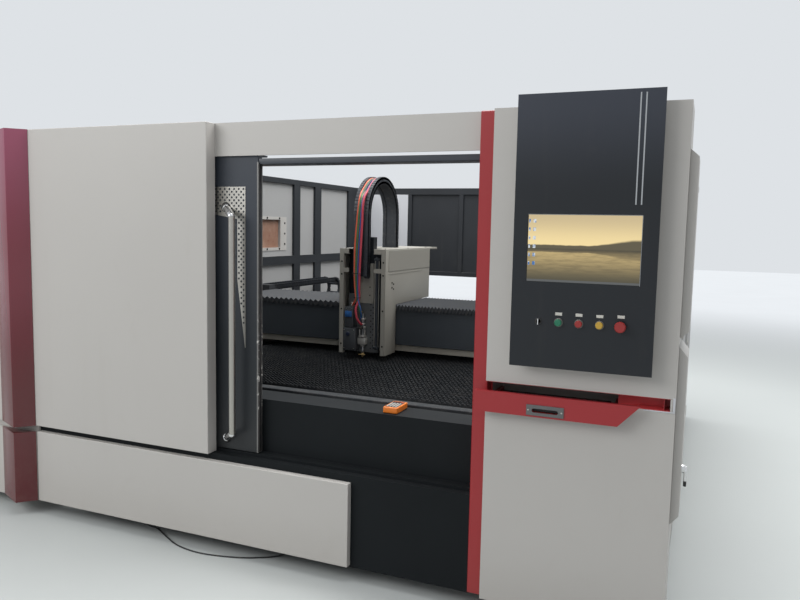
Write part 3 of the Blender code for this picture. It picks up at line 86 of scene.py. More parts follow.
class Value:
    """A node's output that can be used in Python expressions."""

    def __init__(self, tree, socket):
        self.tree, self.socket = tree, socket

    def _math(self, operation, other=None):
        return Graph(self.tree).node("ShaderNodeMath", {0: self, 1: other}, operation=operation)

    def __add__(self, other): return self._math("ADD", other)
    def __sub__(self, other): return self._math("SUBTRACT", other)
    def __rsub__(self, other): return self * -1.0 + other
    def __mul__(self, other): return self._math("MULTIPLY", other)
    def __truediv__(self, other): return self._math("DIVIDE", other)
    def __gt__(self, other): return self._math("GREATER_THAN", other)
    def __lt__(self, other): return self._math("LESS_THAN", other)
    __radd__, __rmul__ = __add__, __mul__

    def least(self, other): return self._math("MINIMUM", other)
    def most(self, other): return self._math("MAXIMUM", other)
    def wrap(self, length): return self._math("FLOORED_MODULO", length)
    def size(self): return self._math("ABSOLUTE")
    def part(self, index): return Graph(self.tree).node("ShaderNodeSeparateXYZ", {0: self}, index)
    def output(self, name): return Value(self.tree, self.socket.node.outputs[name])

    def step(self, low, high, start=0.0, end=1.0):
        """start where this value is below low, end where it is above high, smooth between."""
        limits = {"Value": self, "From Min": low, "From Max": high, "To Min": start, "To Max": end}
        return Graph(self.tree).node("ShaderNodeMapRange", limits, "Result", interpolation_type="SMOOTHSTEP")


class Graph:
    """A node tree that expressions fill."""

    def __init__(self, tree):
        self.tree = tree

    def put(self, slot, value):
        if isinstance(value, Value):
            self.tree.links.new(value.socket, slot)
        elif isinstance(value, tuple) and len(value) == 3 and len(slot.default_value) == 4:
            slot.default_value = (*value, 1.0)
        elif value is not None:
            slot.default_value = value

    def node(self, kind, values=None, output=0, **settings):
        """A new node; a list of values all go to one socket, and None leaves a socket as it is."""
        node = self.tree.nodes.new(kind)
        for name, value in settings.items():
            setattr(node, name, value)
        for name, value in (values or {}).items():
            for one in value if isinstance(value, list) else [value]:
                self.put(node.inputs[name], one)
        return Value(self.tree, node.outputs[output]) if node.outputs else None

    def seen(self):
        """1 where the camera looks, also in a reflection or through glass, and 0 where light bounces."""
        camera, glossy, through = (self.node("ShaderNodeLightPath", output=f"Is {kind} Ray")
                                   for kind in ("Camera", "Glossy", "Transmission"))
        return (camera + glossy + through).least(1.0)


class Paint(Graph):
    """A material on a Principled shader, with helpers for what its textures read."""

    def __init__(self, name, **constants):
        self.material = bpy.data.materials.new(name)
        self.material.use_nodes = True
        super().__init__(self.material.node_tree)
        self.shader = self.tree.nodes["Principled BSDF"]
        self.place = self.node("ShaderNodeTexCoord", output="Object")
        self.set(**constants)

    def set(self, **inputs):
        """Shader inputs by their names, with _ for a space."""
        for name, value in inputs.items():
            self.put(self.shader.inputs[name.replace("_", " ")], value)
        return self.material

    def noise(self, scale, detail=3.0, rough=0.5, place=None, warp=0.0):
        return self.node("ShaderNodeTexNoise", {"Vector": place or self.place, "Scale": scale, "Detail": detail,
                                                "Roughness": rough, "Distortion": warp})

    def cells(self, scale):
        return self.node("ShaderNodeTexVoronoi", {"Vector": self.place, "Scale": scale}, "Distance")

    def stretched(self, x, y, z):
        """The object's own place, scaled on each axis."""
        return self.node("ShaderNodeVectorMath", {0: self.place, 1: (x, y, z)}, operation="MULTIPLY")

    def axis(self, name):
        return self.place.part("xyz".index(name))

    def mix(self, share, first, second):
        return self.node("ShaderNodeMix", {0: share, 6: first, 7: second}, 2, data_type="RGBA")

    def shade(self, colour, amount):
        """The colour multiplied by a grey amount, which may be above 1."""
        return self.node("ShaderNodeVectorMath", {"Vector": colour, "Scale": amount}, operation="SCALE")

    def bump(self, height, distance, strength=1.0, under=None):
        return self.node("ShaderNodeBump", {"Height": height, "Distance": distance, "Strength": strength,
                                            "Normal": under})


def tone(red, green, blue):
    """A colour from the usual 0 to 255 scale, as the linear values that a shader takes."""
    def linear(part):
        part /= 255.0
        return part / 12.92 if part <= 0.04045 else ((part + 0.055) / 1.055) ** 2.4
    return linear(red), linear(green), linear(blue)


# ---------------------------------------------------------------- finishes

def powder_coat(name, colour, rough=0.42, dust=0.12, dust_top=0.35, dust_colour=tone(150, 140, 122),
                lit_top_colour=None, lit_top_span=(1.7, 2.08), gloss=0.5):
    """Satin sheet metal paint: orange peel, cloudy tone, hand smudges, floor dust low down, and, where a lit top
    colour is given, painted lighter towards the top for how light falls.
    """
    paint = Paint(name, Specular_IOR_Level=gloss)
    # Painted light: the colour turns lighter towards the top, standing in for the light that falls there.
    if lit_top_colour:
        colour = paint.mix(paint.axis("z").step(*lit_top_span), colour, lit_top_colour)
    cloud = paint.noise(1.7, 4.0, 0.55)
    streak = paint.noise(1.0, 5.0, 0.6, paint.stretched(9.0, 9.0, 0.7))
    smudge = paint.noise(6.0, 6.0, 0.68, warp=0.6).step(0.56, 0.74)
    low = paint.axis("z").step(0.05, dust_top, 1.0, 0.0)
    grime = (low * (0.35 + paint.noise(11.0, 6.0, 0.7)) + smudge * 0.35 + streak.step(0.58, 0.8) * 0.35) * dust
    base = paint.shade(colour, 0.965 + cloud * 0.07)
    speck = (paint.cells(90.0) < 0.10) * paint.noise(3.0).step(0.52, 0.7) * dust
    fine, wave = paint.noise(900.0, 2.0, 0.5), paint.noise(2.2, 1.0)
    coat = paint.mix(grime.least(0.85), base, dust_colour)
    return paint.set(Base_Color=paint.mix(speck * 0.8, coat, tone(92, 84, 72)),
                     Roughness=(rough - 0.04) + cloud * 0.08 + grime * 0.5,
                     Normal=paint.bump(fine, 0.00005, 0.5, paint.bump(wave, 0.002, 0.22)))


def bare_metal(name, colour, rough=0.34, grain=(400.0, 400.0, 6.0), stain=tone(116, 104, 92), stained=0.2, metal=0.92):
    """Brushed or milled metal with grain along one axis, fingerprints and stains."""
    paint = Paint(name, Metallic=metal)
    brushed = paint.noise(1.0, 3.0, 0.6, paint.stretched(*grain))
    blotch = paint.noise(9.0, 5.0, 0.65, warp=0.5)
    stains = blotch.step(0.5, 0.75) * stained
    base = paint.shade(colour, 0.86 + brushed * 0.28)
    return paint.set(Base_Color=paint.mix(stains, base, stain), Roughness=rough - 0.06 + brushed * 0.12 + stains * 0.5,
                     Normal=paint.bump(brushed, 0.00008, 0.5))


def moulded(name, colour, rough=0.45, dust=0.1):
    """Moulded plastic: fine spark grain, slight shine where touched and a little dust on top."""
    paint = Paint(name)
    tint = paint.noise(24.0, 3.0)
    worn = paint.noise(40.0, 5.0, 0.65).step(0.5, 0.72)
    base = paint.shade(colour, 0.92 + tint * 0.16)
    return paint.set(Base_Color=paint.mix(worn * dust, base, tone(140, 132, 118)),
                     Roughness=rough - worn * 0.1 + tint * 0.06,
                     Normal=paint.bump(paint.noise(1600.0, 1.0), 0.00004, 0.6))


def soot_black(name, colour, dust=0.5, rough=0.6, dust_colour=tone(104, 102, 98), gloss=0.35):
    """Black paint inside the cutting space, with cutting dust lying on what faces up."""
    paint = Paint(name, Specular_IOR_Level=gloss)
    up = paint.node("ShaderNodeNewGeometry", output="Normal").part(2)
    powder = paint.noise(14.0, 6.0, 0.7).step(0.36, 0.68)
    settled = (up.step(0.3, 0.9) * (0.35 + powder * 0.65) + paint.noise(5.0, 5.0, 0.6).step(0.55, 0.8) * 0.18) * dust
    run = paint.noise(1.0, 4.0, 0.6, paint.stretched(26.0, 26.0, 1.2)).step(0.56, 0.78) * 0.14
    base = paint.shade(colour, 0.8 + paint.noise(3.0, 4.0) * 0.5)
    return paint.set(Base_Color=paint.mix((settled + run * dust).least(0.8), base, dust_colour),
                     Roughness=rough + settled * 0.25,
                     Normal=paint.bump(paint.noise(420.0, 3.0), 0.00012, 0.6))


def slag_steel(name):
    """Cutting slats: mill scale with slag beads, grey patches and bright specks."""
    paint = Paint(name, Metallic=0.1, Specular_IOR_Level=0.3)
    bead = paint.cells(160.0).step(0.0, 0.45, 1.0, 0.0)
    patch = paint.noise(18.0, 6.0, 0.7)
    scale = paint.mix(patch.step(0.4, 0.7), tone(40, 43, 46), tone(60, 60, 60))
    bright = paint.noise(60.0, 3.0).step(0.62, 0.72)
    return paint.set(Base_Color=paint.mix(bright * 0.15, scale, tone(112, 112, 112)), Roughness=0.72 - bright * 0.25,
                     Normal=paint.bump(bead, 0.0016, 0.7, paint.bump(patch, 0.003, 0.4)))


def glossy_red(name, shaded_low_colour, colour, lit_high_colour):
    """Lacquered red, painted darker near the floor and lighter towards the top for how light falls on it."""
    paint = Paint(name, Coat_Roughness=0.06)
    # Painted shade low down and painted highlight towards the top, chosen by height.
    height = paint.axis("z")
    colour = paint.mix(height.step(0.6, 1.4), shaded_low_colour, paint.mix(height.step(1.35, 2.1), colour, lit_high_colour))
    cloud = paint.noise(2.6, 3.0)
    film = paint.noise(7.0, 6.0, 0.7).step(0.5, 0.75)
    low = paint.axis("z").step(0.05, 0.5, 1.0, 0.0) * paint.noise(12.0, 6.0, 0.7).step(0.35, 0.7)
    base = paint.shade(colour, 0.94 + cloud * 0.12)
    return paint.set(Base_Color=paint.mix(low * 0.08, base, tone(150, 128, 116)),
                     Roughness=0.16 + film * 0.09 + low * 0.1, Coat_Weight=0.35 - film * 0.15,
                     Normal=paint.bump(paint.noise(3.0, 1.0), 0.003, 0.12))


def amber_glass(name):
    paint = Paint(name, IOR=1.49)
    film = paint.noise(10.0, 6.0, 0.7)
    return paint.set(Base_Color=paint.mix(film.step(0.35, 0.75), tone(150, 112, 94), tone(168, 138, 120)),
                     Roughness=0.18 + film * 0.25)


def black_rubber(name, colour, rough=0.6):
    paint = Paint(name)
    dusty = paint.noise(34.0, 6.0, 0.7).step(0.48, 0.75)
    base = paint.shade(colour, 0.85 + paint.noise(12.0) * 0.3)
    return paint.set(Base_Color=paint.mix(dusty * 0.3, base, tone(120, 112, 102)),
                     Roughness=rough + dusty * 0.2, Normal=paint.bump(paint.noise(700.0, 2.0), 0.00008, 0.7))


def dark_gloss(name):
    paint = Paint(name, IOR=1.5)
    return paint.set(Base_Color=tone(12, 13, 16), Roughness=0.08 + paint.noise(12.0, 6.0, 0.7).step(0.5, 0.8) * 0.14)


def splashed_strip(name):
    """Pale anodised strip with splashes of dried white filler over its lower half."""
    paint = Paint(name)
    height = paint.axis("z")
    splash = paint.noise(26.0, 6.0, 0.75, warp=0.8).step(0.54, 0.60) * height.step(0.95, 1.25, 1.0, 0.0) \
        * height.step(0.6, 0.75)
    brushed = paint.noise(1.0, 3.0, 0.6, paint.stretched(600.0, 600.0, 5.0))
    strip = paint.shade(tone(122, 121, 119), 0.85 + brushed * 0.3)
    return paint.set(Base_Color=paint.mix(splash, strip, tone(228, 226, 220)),
                     Roughness=0.38 + splash * 0.4, Metallic=0.55 - splash * 0.55,
                     Normal=paint.bump(splash, 0.0012, 0.8))


def beam_paint(name):
    """Beige of the gantry beam, worn and sooty, with the black paint of the chain arm at its left end."""
    paint = Paint(name)
    cloud, grime = paint.noise(2.0, 4.0), paint.noise(13.0, 6.0, 0.68).step(0.52, 0.75)
    arm = paint.axis("x") < -0.972
    base = paint.mix(grime * 0.35, paint.shade(tone(176, 172, 160), 0.93 + cloud * 0.14), tone(96, 92, 84))
    return paint.set(Base_Color=paint.mix(arm, base, paint.shade(tone(38, 40, 43), 0.85 + cloud * 0.3)),
                     Roughness=0.48 + grime * 0.2, Normal=paint.bump(paint.noise(700.0, 2.0), 0.00006, 0.5))


def display_picture(name):
    """A plain dusk gradient over still water, with rows of small blank icons and a task bar."""
    paint = Paint(name)
    across, up = (paint.axis("x") - 1.3665) * 2.433, (paint.axis("z") - 1.389) * 3.96
    sky = paint.mix(up.step(0.55, 1.0), tone(246, 222, 162), tone(204, 184, 142))
    water = paint.mix(up.step(0.0, 0.5), tone(72, 68, 50), tone(196, 172, 118))
    ripple = paint.noise(1.0, 4.0, 0.6, paint.stretched(14.0, 1.0, 120.0)).step(0.4, 0.65)
    water = paint.mix(ripple * 0.35, water, tone(84, 76, 54))
    bank = 0.03 + paint.noise(9.0, 5.0, 0.6) * 0.05 + across.step(0.5, 1.0) * 0.09
    shore = ((up - 0.5).size() / bank).step(0.8, 1.1, 1.0, 0.0)
    picture = paint.mix(up.step(0.49, 0.51), water, sky)
    picture = paint.mix(shore * up.step(0.4, 0.5, 0.5, 0.92), picture, tone(52, 50, 40))
    rows = ((up * 8.0).wrap(1.0) < 0.42) * (up > 0.24) * (up < 0.98)
    columns = ((across * 20.0).wrap(1.0) < 0.5) * (across < 0.1) * (across > 0.01)
    tint = paint.noise(60.0, 1.0).step(0.4, 0.6)
    picture = paint.mix(rows * columns, picture, paint.mix(tint, tone(60, 110, 170), tone(214, 220, 222)))
    picture = paint.mix(up < 0.04, picture, tone(86, 88, 88))
    return paint.set(Base_Color=tone(10, 10, 12), Emission_Color=picture, Emission_Strength=0.95,
                     Roughness=0.12 + paint.noise(14.0, 5.0).step(0.5, 0.8) * 0.1)


def make_finishes():
    return {
        "panel_paint": powder_coat("light_grey_powder_coat", tone(190, 187, 182)),
        "wall_paint": powder_coat("grey_wall_paint", tone(168, 168, 167), 0.55, 0.35, 1.2),
        # The graphite paints are painted lighter towards the top, standing in for how light falls on them.
        "dark_paint": powder_coat("graphite_paint", tone(34, 37, 41), 0.34, 0.05, 0.4, lit_top_colour=tone(60, 64, 73),
                                  gloss=0.3),
        "leaf_paint": powder_coat("leaf_graphite_paint", tone(37, 41, 45), 0.4, 0.10, 0.9, lit_top_colour=tone(54, 59, 67),
                                  lit_top_span=(0.9, 1.7), gloss=0.35),
        "black_paint": soot_black("black_frame_paint", tone(38, 41, 45), 0.4),
        "low_black": soot_black("lower_black_paint", tone(24, 27, 29), 0.06, 0.62, tone(70, 71, 70), 0.12),
        "cover_paint": soot_black("gantry_cover_paint", tone(54, 59, 64), 0.2, 0.5),
        "rail_paint": powder_coat("door_rail_paint", tone(64, 68, 75), 0.4, 0.1),
        "white_wall": powder_coat("white_wall_paint", tone(206, 208, 212), 0.5, 0.2, 1.2),
        # A lighter copy of the signal red: painted light standing in for light that the shaded slot lacks.
        "slot_red": powder_coat("slot_lining_red", tone(206, 70, 74), 0.4, 0.1, 1.0),
        "beam_paint": beam_paint("gantry_beam_paint"),
        "plate_grey": bare_metal("column_plate_grey", tone(136, 138, 139), 0.45, (60.0, 60.0, 400.0)),
        "chain_plastic": moulded("energy_chain_plastic", tone(56, 60, 66), 0.5, 0.2),
        "dull_ring": bare_metal("dull_button_ring", tone(112, 110, 106), 0.45, (300.0, 300.0, 300.0)),
        "navy_knob": moulded("navy_socket_plastic", tone(36, 44, 66), 0.4, 0.2),
        "red_paint": powder_coat("signal_red_paint", tone(158, 40, 44), 0.33, 0.06, 0.4),
        # The wine red's colours: painted shade near the floor, its own colour, painted light near the top.
        "wine_gloss": glossy_red("gloss_wine_red", tone(92, 12, 20), tone(118, 32, 48), tone(146, 70, 94)),
        "beige_paint": powder_coat("beige_machine_paint", tone(152, 149, 140), 0.5, 0.35, 0.9),
        "bare_steel": bare_metal("bare_steel", tone(178, 175, 168)),
        "scaled_steel": slag_steel("slagged_slat_steel"),
        "nickel_bar": bare_metal("brushed_tube", tone(170, 167, 160), 0.3, (900.0, 900.0, 8.0), stained=0.08),
        "bare_aluminium": bare_metal("milled_aluminium", tone(190, 190, 190), 0.36, (30.0, 500.0, 500.0)),
        "chrome_plate": bare_metal("polished_chrome", tone(214, 214, 214), 0.12, (60.0, 60.0, 60.0), stained=0.03),
        "amber_pane": amber_glass("amber_safety_pane"),
        "screen_glass": dark_gloss("display_glass"),
        "orange_plastic": moulded("orange_plastic", tone(226, 122, 30)),
        "grey_plastic": moulded("grey_plastic", tone(96, 98, 98)),
        "black_plastic": moulded("black_plastic", tone(32, 32, 33), 0.5, 0.25),
        "green_plastic": moulded("green_button_plastic", tone(28, 112, 82), 0.3, 0.04),
        "red_plastic": moulded("red_button_plastic", tone(152, 44, 42), 0.3, 0.04),
        "yellow_plastic": moulded("yellow_button_plastic", tone(198, 160, 62), 0.3, 0.04),
        "bellows_cloth": black_rubber("coated_bellows_cloth", tone(40, 43, 47), 0.6),
        "cable_rubber": black_rubber("black_cable_sheath", tone(26, 26, 28), 0.45),
        "edge_strip": splashed_strip("leaf_edge_strip"),
        "black_rubber_seal": black_rubber("brush_seal", tone(28, 28, 30)),
        "orange_hose": moulded("orange_air_hose", tone(206, 92, 62), 0.35, 0.2),
        "green_hose": moulded("green_air_hose", tone(52, 112, 78), 0.35, 0.2),
        "yellow_hose": moulded("yellow_signal_lead", tone(168, 148, 62), 0.4, 0.2),
        "blue_hose": moulded("blue_air_hose", tone(52, 92, 160), 0.35, 0.2),
        "rose_hose": moulded("rose_cooling_hose", tone(190, 66, 82), 0.35, 0.2),
        "black_hose": moulded("black_sensor_lead", tone(30, 30, 32), 0.45, 0.2),
        "satin_nickel": bare_metal("satin_nickel", tone(184, 182, 176), 0.4, (200.0, 200.0, 200.0), metal=0.45),
        "head_grey": powder_coat("head_box_grey", tone(68, 71, 74), 0.45, 0.25, 0.9),
        "blue_connector": moulded("blue_connector_plastic", tone(44, 96, 158), 0.35, 0.15),
        "brass": bare_metal("nozzle_brass", tone(222, 190, 132), 0.3, (200.0, 200.0, 200.0), metal=0.5),
        "black_screw": bare_metal("blackened_screw", tone(44, 43, 42), 0.45, (300.0, 300.0, 300.0), stained=0.1),
        "bright_trim": bare_metal("satin_trim", tone(172, 174, 176), 0.32, (900.0, 900.0, 12.0), stained=0.05),
        # Key caps painted lighter, standing in for light in the shaded drawer slot.
        "key_plastic": moulded("key_cap_plastic", tone(74, 78, 84), 0.45, 0.3),
        "keypad_grey": moulded("keypad_grey", tone(34, 36, 40), 0.5, 0.2),
        "display_line": moulded("remote_display", tone(96, 44, 40), 0.2, 0.05),
        "display_picture": display_picture("plain_display_picture"),
        "white_plastic": moulded("white_plug_plastic", tone(206, 204, 196), 0.4, 0.15),
    }


# ---------------------------------------------------------------- making pieces

def piece(name, mesh, body, smooth, hides=()):
    """A finished mesh as a piece that rides on a body, or on none yet where it is to be blended between two."""
    thing = bpy.data.objects.new(name, mesh)
    SCENE.collection.objects.link(thing)
    mesh.shade_smooth()
    mesh.set_sharp_from_angle(angle=radians(smooth))
    if body:
        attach(thing, body)
    if hides:
        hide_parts(*hides)
    return thing


BACKGROUND = tone(222, 226, 230)


def make_floor():
    """A pale floor that fades into the background far from the machine."""
    floor, none = Paint("pale_floor"), (0.0, 0.0, 0.0)
    cloud, seen = floor.noise(0.8, 5.0, 0.6), floor.seen()
    plain = floor.shade(tone(196, 200, 198), 0.96 + cloud * 0.08)
    reach = floor.node("ShaderNodeVectorMath", {0: floor.place}, "Value", operation="LENGTH")
    away, near = reach.step(4.5, 13.0) * seen, floor.mix(seen, tone(166, 168, 167), plain)
    floor.set(Base_Color=floor.mix(away, near, none), Emission_Color=floor.mix(away, none, BACKGROUND),
              Emission_Strength=1.0, Roughness=0.5 + cloud * 0.15)
    far = 30.0
    mesh = bpy.data.meshes.new("floor")
    mesh.from_pydata([(-far, -far, 0), (far, -far, 0), (far, far, 0), (-far, far, 0)], [], [(0, 1, 2, 3)])
    mesh.materials.append(floor.material)
    ground = bpy.data.objects.new("floor", mesh)
    SCENE.collection.objects.link(ground)


def make_world():
    """Soft light from all round, with a pale background where the camera sees it."""
    world = SCENE.world = bpy.data.worlds.new("studio")
    world.use_nodes = True
    sky = Graph(world.node_tree)
    sky.tree.nodes.clear()
    lit = sky.node("ShaderNodeBackground", {"Color": (0.93, 0.96, 1.0), "Strength": 0.54})
    pale = sky.node("ShaderNodeBackground", {"Color": BACKGROUND})
    sky.node("ShaderNodeOutputWorld", {"Surface": sky.node("ShaderNodeMixShader", {0: sky.seen(), 1: lit, 2: pale})})


# ---------------------------------------------------------------- floor cable

CABLE_RADIUS = 0.0035
CABLE_ROUTE = (
    (-0.655, -1.795, 0.0664), (-0.653, -1.797, 0.045), (-0.635, -1.798, 0.020),
    (-0.600, -1.795, 0.006), (-0.555, -1.800, 0.0037), (-0.452, -1.856, 0.0037),
    (-0.345, -1.910, 0.0037), (-0.240, -1.935, 0.0037), (-0.151, -1.937, 0.0037),
    (-0.048, -1.919, 0.0037), (0.047, -1.890, 0.0037), (0.133, -1.845, 0.0037),
    (0.180, -1.812, 0.006), (0.214, -1.797, 0.020), (0.230, -1.795, 0.045),
    (0.232, -1.795, 0.0664),
)


def smooth_line(spots, step):
    spots = [Vector(s) for s in spots]
    ends = [2 * spots[0] - spots[1]] + spots + [2 * spots[-1] - spots[-2]]
    line = [spots[0]]
    for i in range(1, len(ends) - 2):
        a, b, c, d = ends[i - 1:i + 3]
        count = max(1, ceil((c - b).length / step))
        for k in range(1, count + 1):
            t = k / count
            line.append(0.5 * (2 * b + (c - a) * t + (2 * a - 5 * b + 4 * c - d) * t ** 2
                               + (3 * b - a - 3 * c + d) * t ** 3))
    return line


def make_cable(finish):
    route = smooth_line(CABLE_ROUTE, 0.021)
    curve = bpy.data.curves.new("floor_cable_sheath", "CURVE")
    curve.dimensions = "3D"
    curve.bevel_depth = CABLE_RADIUS
    curve.bevel_resolution = 5
    curve.use_fill_caps = True
    line = curve.splines.new("POLY")
    line.points.add(len(route) - 1)
    for point, spot in zip(line.points, route):
        point.co = (*spot, 1.0)
    curve.materials.append(finish)
    cable = bpy.data.objects.new("floor_cable_sheath", curve)
    SCENE.collection.objects.link(cable)
    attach(cable, "machine")
    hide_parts("floor_cable")
    length = sum((b - a).length for a, b in zip(route, route[1:]))


# ---------------------------------------------------------------- shapes

def ring(spot, up, side, radius, sides):
    """Points round a spot, in the plane of up and side."""
    return [spot + (up * cos(2 * pi * k / sides) + side * sin(2 * pi * k / sides)) * radius for k in range(sides)]


class Form:
    """Shapes collected in one mesh, in the machine's own frame; use() picks the finish of the next ones."""

    def __init__(self, finish):
        self.form, self.finishes = bmesh.new(), []
        self.use(finish)

    def use(self, finish):
        if finish not in self.finishes:
            self.finishes.append(finish)
        self.index = self.finishes.index(finish)
        return self

    def _close(self, verts, edge=0.0, segments=2):
        """Bevels the new shape where an edge is given, and gives its faces the finish in use."""
        if edge:
            edges = list({e for v in verts for e in v.link_edges})
            verts = bmesh.ops.bevel(self.form, geom=edges, offset=edge, segments=segments, affect="EDGES",
                                    profile=0.5)["verts"]
        for face in {f for v in verts for f in v.link_faces}:
            face.material_index = self.index
        return self

    def box(self, x, y, z, edge=0.0, segments=2):
        made = bmesh.ops.create_cube(self.form, size=1.0)["verts"]
        for vert in made:
            vert.co = [(a + b) / 2 + part * (b - a) for (a, b), part in zip((x, y, z), vert.co)]
        return self._close(made, edge, segments)

    def sheets(self, *spans, edge=0.001):
        """Boxes with a small plain bevel, each given by its three spans."""
        for x, y, z in spans:
            self.box(x, y, z, edge, 1)
        return self

    def loft(self, loops):
        """Faces between round loops of points that all have the same count, and over both ends."""
        rows = [[self.form.verts.new(p) for p in loop] for loop in loops]
        for a, b in zip(rows, rows[1:]):
            for i in range(len(a)):
                self.form.faces.new((a[i - 1], a[i], b[i], b[i - 1]))
        self.form.faces.new(list(reversed(rows[0])))
        self.form.faces.new(rows[-1])
        return self._close([v for row in rows for v in row])

    def tube(self, path, radius, sides=10):
        """A round tube along points, with a frame carried from point to point."""
        path = [Vector(p) for p in path]
        up, loops = (path[1] - path[0]).normalized().orthogonal(), []
        for i, spot in enumerate(path):
            ahead = (path[min(i + 1, len(path) - 1)] - path[max(i - 1, 0)]).normalized()
            up = (up - ahead * up.dot(ahead)).normalized()
            loops.append(ring(spot, up, ahead.cross(up), radius, sides))
        return self.loft(loops)

    def rod(self, start, end, profile, sides=20):
        """A turned form from start to end; profile holds (share of the length, radius) pairs."""
        start, end = Vector(start), Vector(end)
        ahead = (end - start).normalized()
        up = ahead.orthogonal().normalized()
        return self.loft([ring(start.lerp(end, share), up, ahead.cross(up), max(radius, 0.0002), sides)
                          for share, radius in profile])

    def stud(self, start, end, radius, sides=14, tip=None, shoulder=0.6):
        """A round form with flat ends, full up to its shoulder and from there down to the tip's radius."""
        slope = [(1, radius)] if tip is None else [(shoulder, radius), (1, tip)]
        return self.rod(start, end, [(0, 0), (0, radius)] + slope + [(1, 0)], sides)

    def pin(self, place, half, radius, sides=14):
        """An upright round bar with its middle at a place."""
        x, y, z = place
        return self.stud((x, y, z - half), (x, y, z + half), radius, sides)

    def prism(self, outline, axis, span, edge=0.0):
        """A flat outline drawn out along an axis; its points are (y, z), (x, z) or (x, y)."""
        at = "XYZ".index(axis)
        before = set(self.form.verts)
        self.loft([[(*spot[:at], end, *spot[at:]) for spot in outline] for end in span])
        made = [v for v in self.form.verts if v not in before]
        bmesh.ops.recalc_face_normals(self.form, faces=list({f for v in made for f in v.link_faces}))
        return self._close(made, edge)

    def mesh(self, name):
        bmesh.ops.remove_doubles(self.form, verts=self.form.verts, dist=0.000001)
        bmesh.ops.recalc_face_normals(self.form, faces=self.form.faces)
        mesh = bpy.data.meshes.new(name)
        self.form.to_mesh(mesh)
        self.form.free()
        for finish in self.finishes:
            mesh.materials.append(FINISH[finish])
        return mesh


def add(name, form, body, smooth=40, hides=()):
    """The form as a piece that rides on a body."""
    return piece(name, form.mesh(name), body, smooth, hides)


class Rule(Graph):
    """A geometry node tree with named inputs, run once and turned into a plain mesh."""

    def __init__(self, name, **inputs):
        super().__init__(bpy.data.node_groups.new(name, "GeometryNodeTree"))
        sockets = self.tree.interface
        for way in ("INPUT", "OUTPUT"):
            sockets.new_socket("Geometry", in_out=way, socket_type="NodeSocketGeometry")
        kinds, self.names = {float: "NodeSocketFloat", int: "NodeSocketInt"}, {}
        for label, value in inputs.items():
            socket = sockets.new_socket(label.replace("_", " "), in_out="INPUT", socket_type=kinds[type(value)])
            self.names[label] = (socket.identifier, value)
        self.enter = self.tree.nodes.new("NodeGroupInput")
        self.leave = self.tree.nodes.new("NodeGroupOutput")

    def __getitem__(self, label):
        """The tree's input of that name, with _ for a space."""
        return Value(self.tree, self.enter.outputs[label.replace("_", " ")])

    def vector(self, x=0.0, y=0.0, z=0.0):
        return self.node("ShaderNodeCombineXYZ", {"X": x, "Y": y, "Z": z})

    def box(self, x, y, z, place=None):
        return self.move(self.node("GeometryNodeMeshCube", {"Size": self.vector(x, y, z)}), place)

    def move(self, shape, place=None, turn=None, scale=None):
        return self.node("GeometryNodeTransform", {"Geometry": shape, "Translation": place, "Rotation": turn,
                                                   "Scale": scale})

    def join(self, *shapes):
        return self.node("GeometryNodeJoinGeometry", {"Geometry": list(reversed(shapes))})

    def line(self, count, step, start=(0.0, 0.0, 0.0)):
        return self.node("GeometryNodeMeshLine", {"Count": count, "Start Location": start, "Offset": step},
                         mode="OFFSET")

    def copies(self, points, shape, turn=None, picked=None):
        return self.node("GeometryNodeInstanceOnPoints", {"Points": points, "Instance": shape, "Rotation": turn,
                                                          "Selection": picked})

    def extrude(self, shape, amount, picked=None, single=True):
        return self.node("GeometryNodeExtrudeMesh", {"Mesh": shape, "Offset Scale": amount, "Selection": picked,
                                                     "Individual": single}, mode="FACES")

    def finish(self, shape, finish):
        plain = self.node("GeometryNodeRealizeInstances", {"Geometry": shape})
        dressed = self.node("GeometryNodeSetMaterial", {"Geometry": plain, "Material": FINISH[finish]})
        self.tree.links.new(dressed.socket, self.leave.inputs[0])
        return self

    def run(self, name, base=None, **values):
        holder = bpy.data.objects.new(name, base or bpy.data.meshes.new(name))
        SCENE.collection.objects.link(holder)
        step = holder.modifiers.new("rule", "NODES")
        step.node_group = self.tree
        for label, (identifier, value) in self.names.items():
            step[identifier] = values.get(label, value)
        graph = bpy.context.evaluated_depsgraph_get()
        mesh = bpy.data.meshes.new_from_object(holder.evaluated_get(graph))
        mesh.name = name
        holder.modifiers.remove(step)
        bpy.data.objects.remove(holder)
        return mesh

    def make(self, name, body, slot, smooth, place=(0.0, 0.0, 0.0), hides=(), turn=Matrix(), base=None, **values):
        """The rule's mesh, turned and set in its place, as a piece."""
        mesh = self.run(name, base, **values)
        mesh.transform(Matrix.Translation(place) @ turn)
        return piece(name, mesh, body, smooth, hides)


# Turns that make a screw on the XY plane face a side of the machine
FACING = {"front": (pi / 2, 0.0, 0.0), "right": (0.0, pi / 2, 0.0), "up": (0.0, 0.0, 0.0),
          "left": (0.0, -pi / 2, 0.0), "rear": (-pi / 2, 0.0, 0.0)}


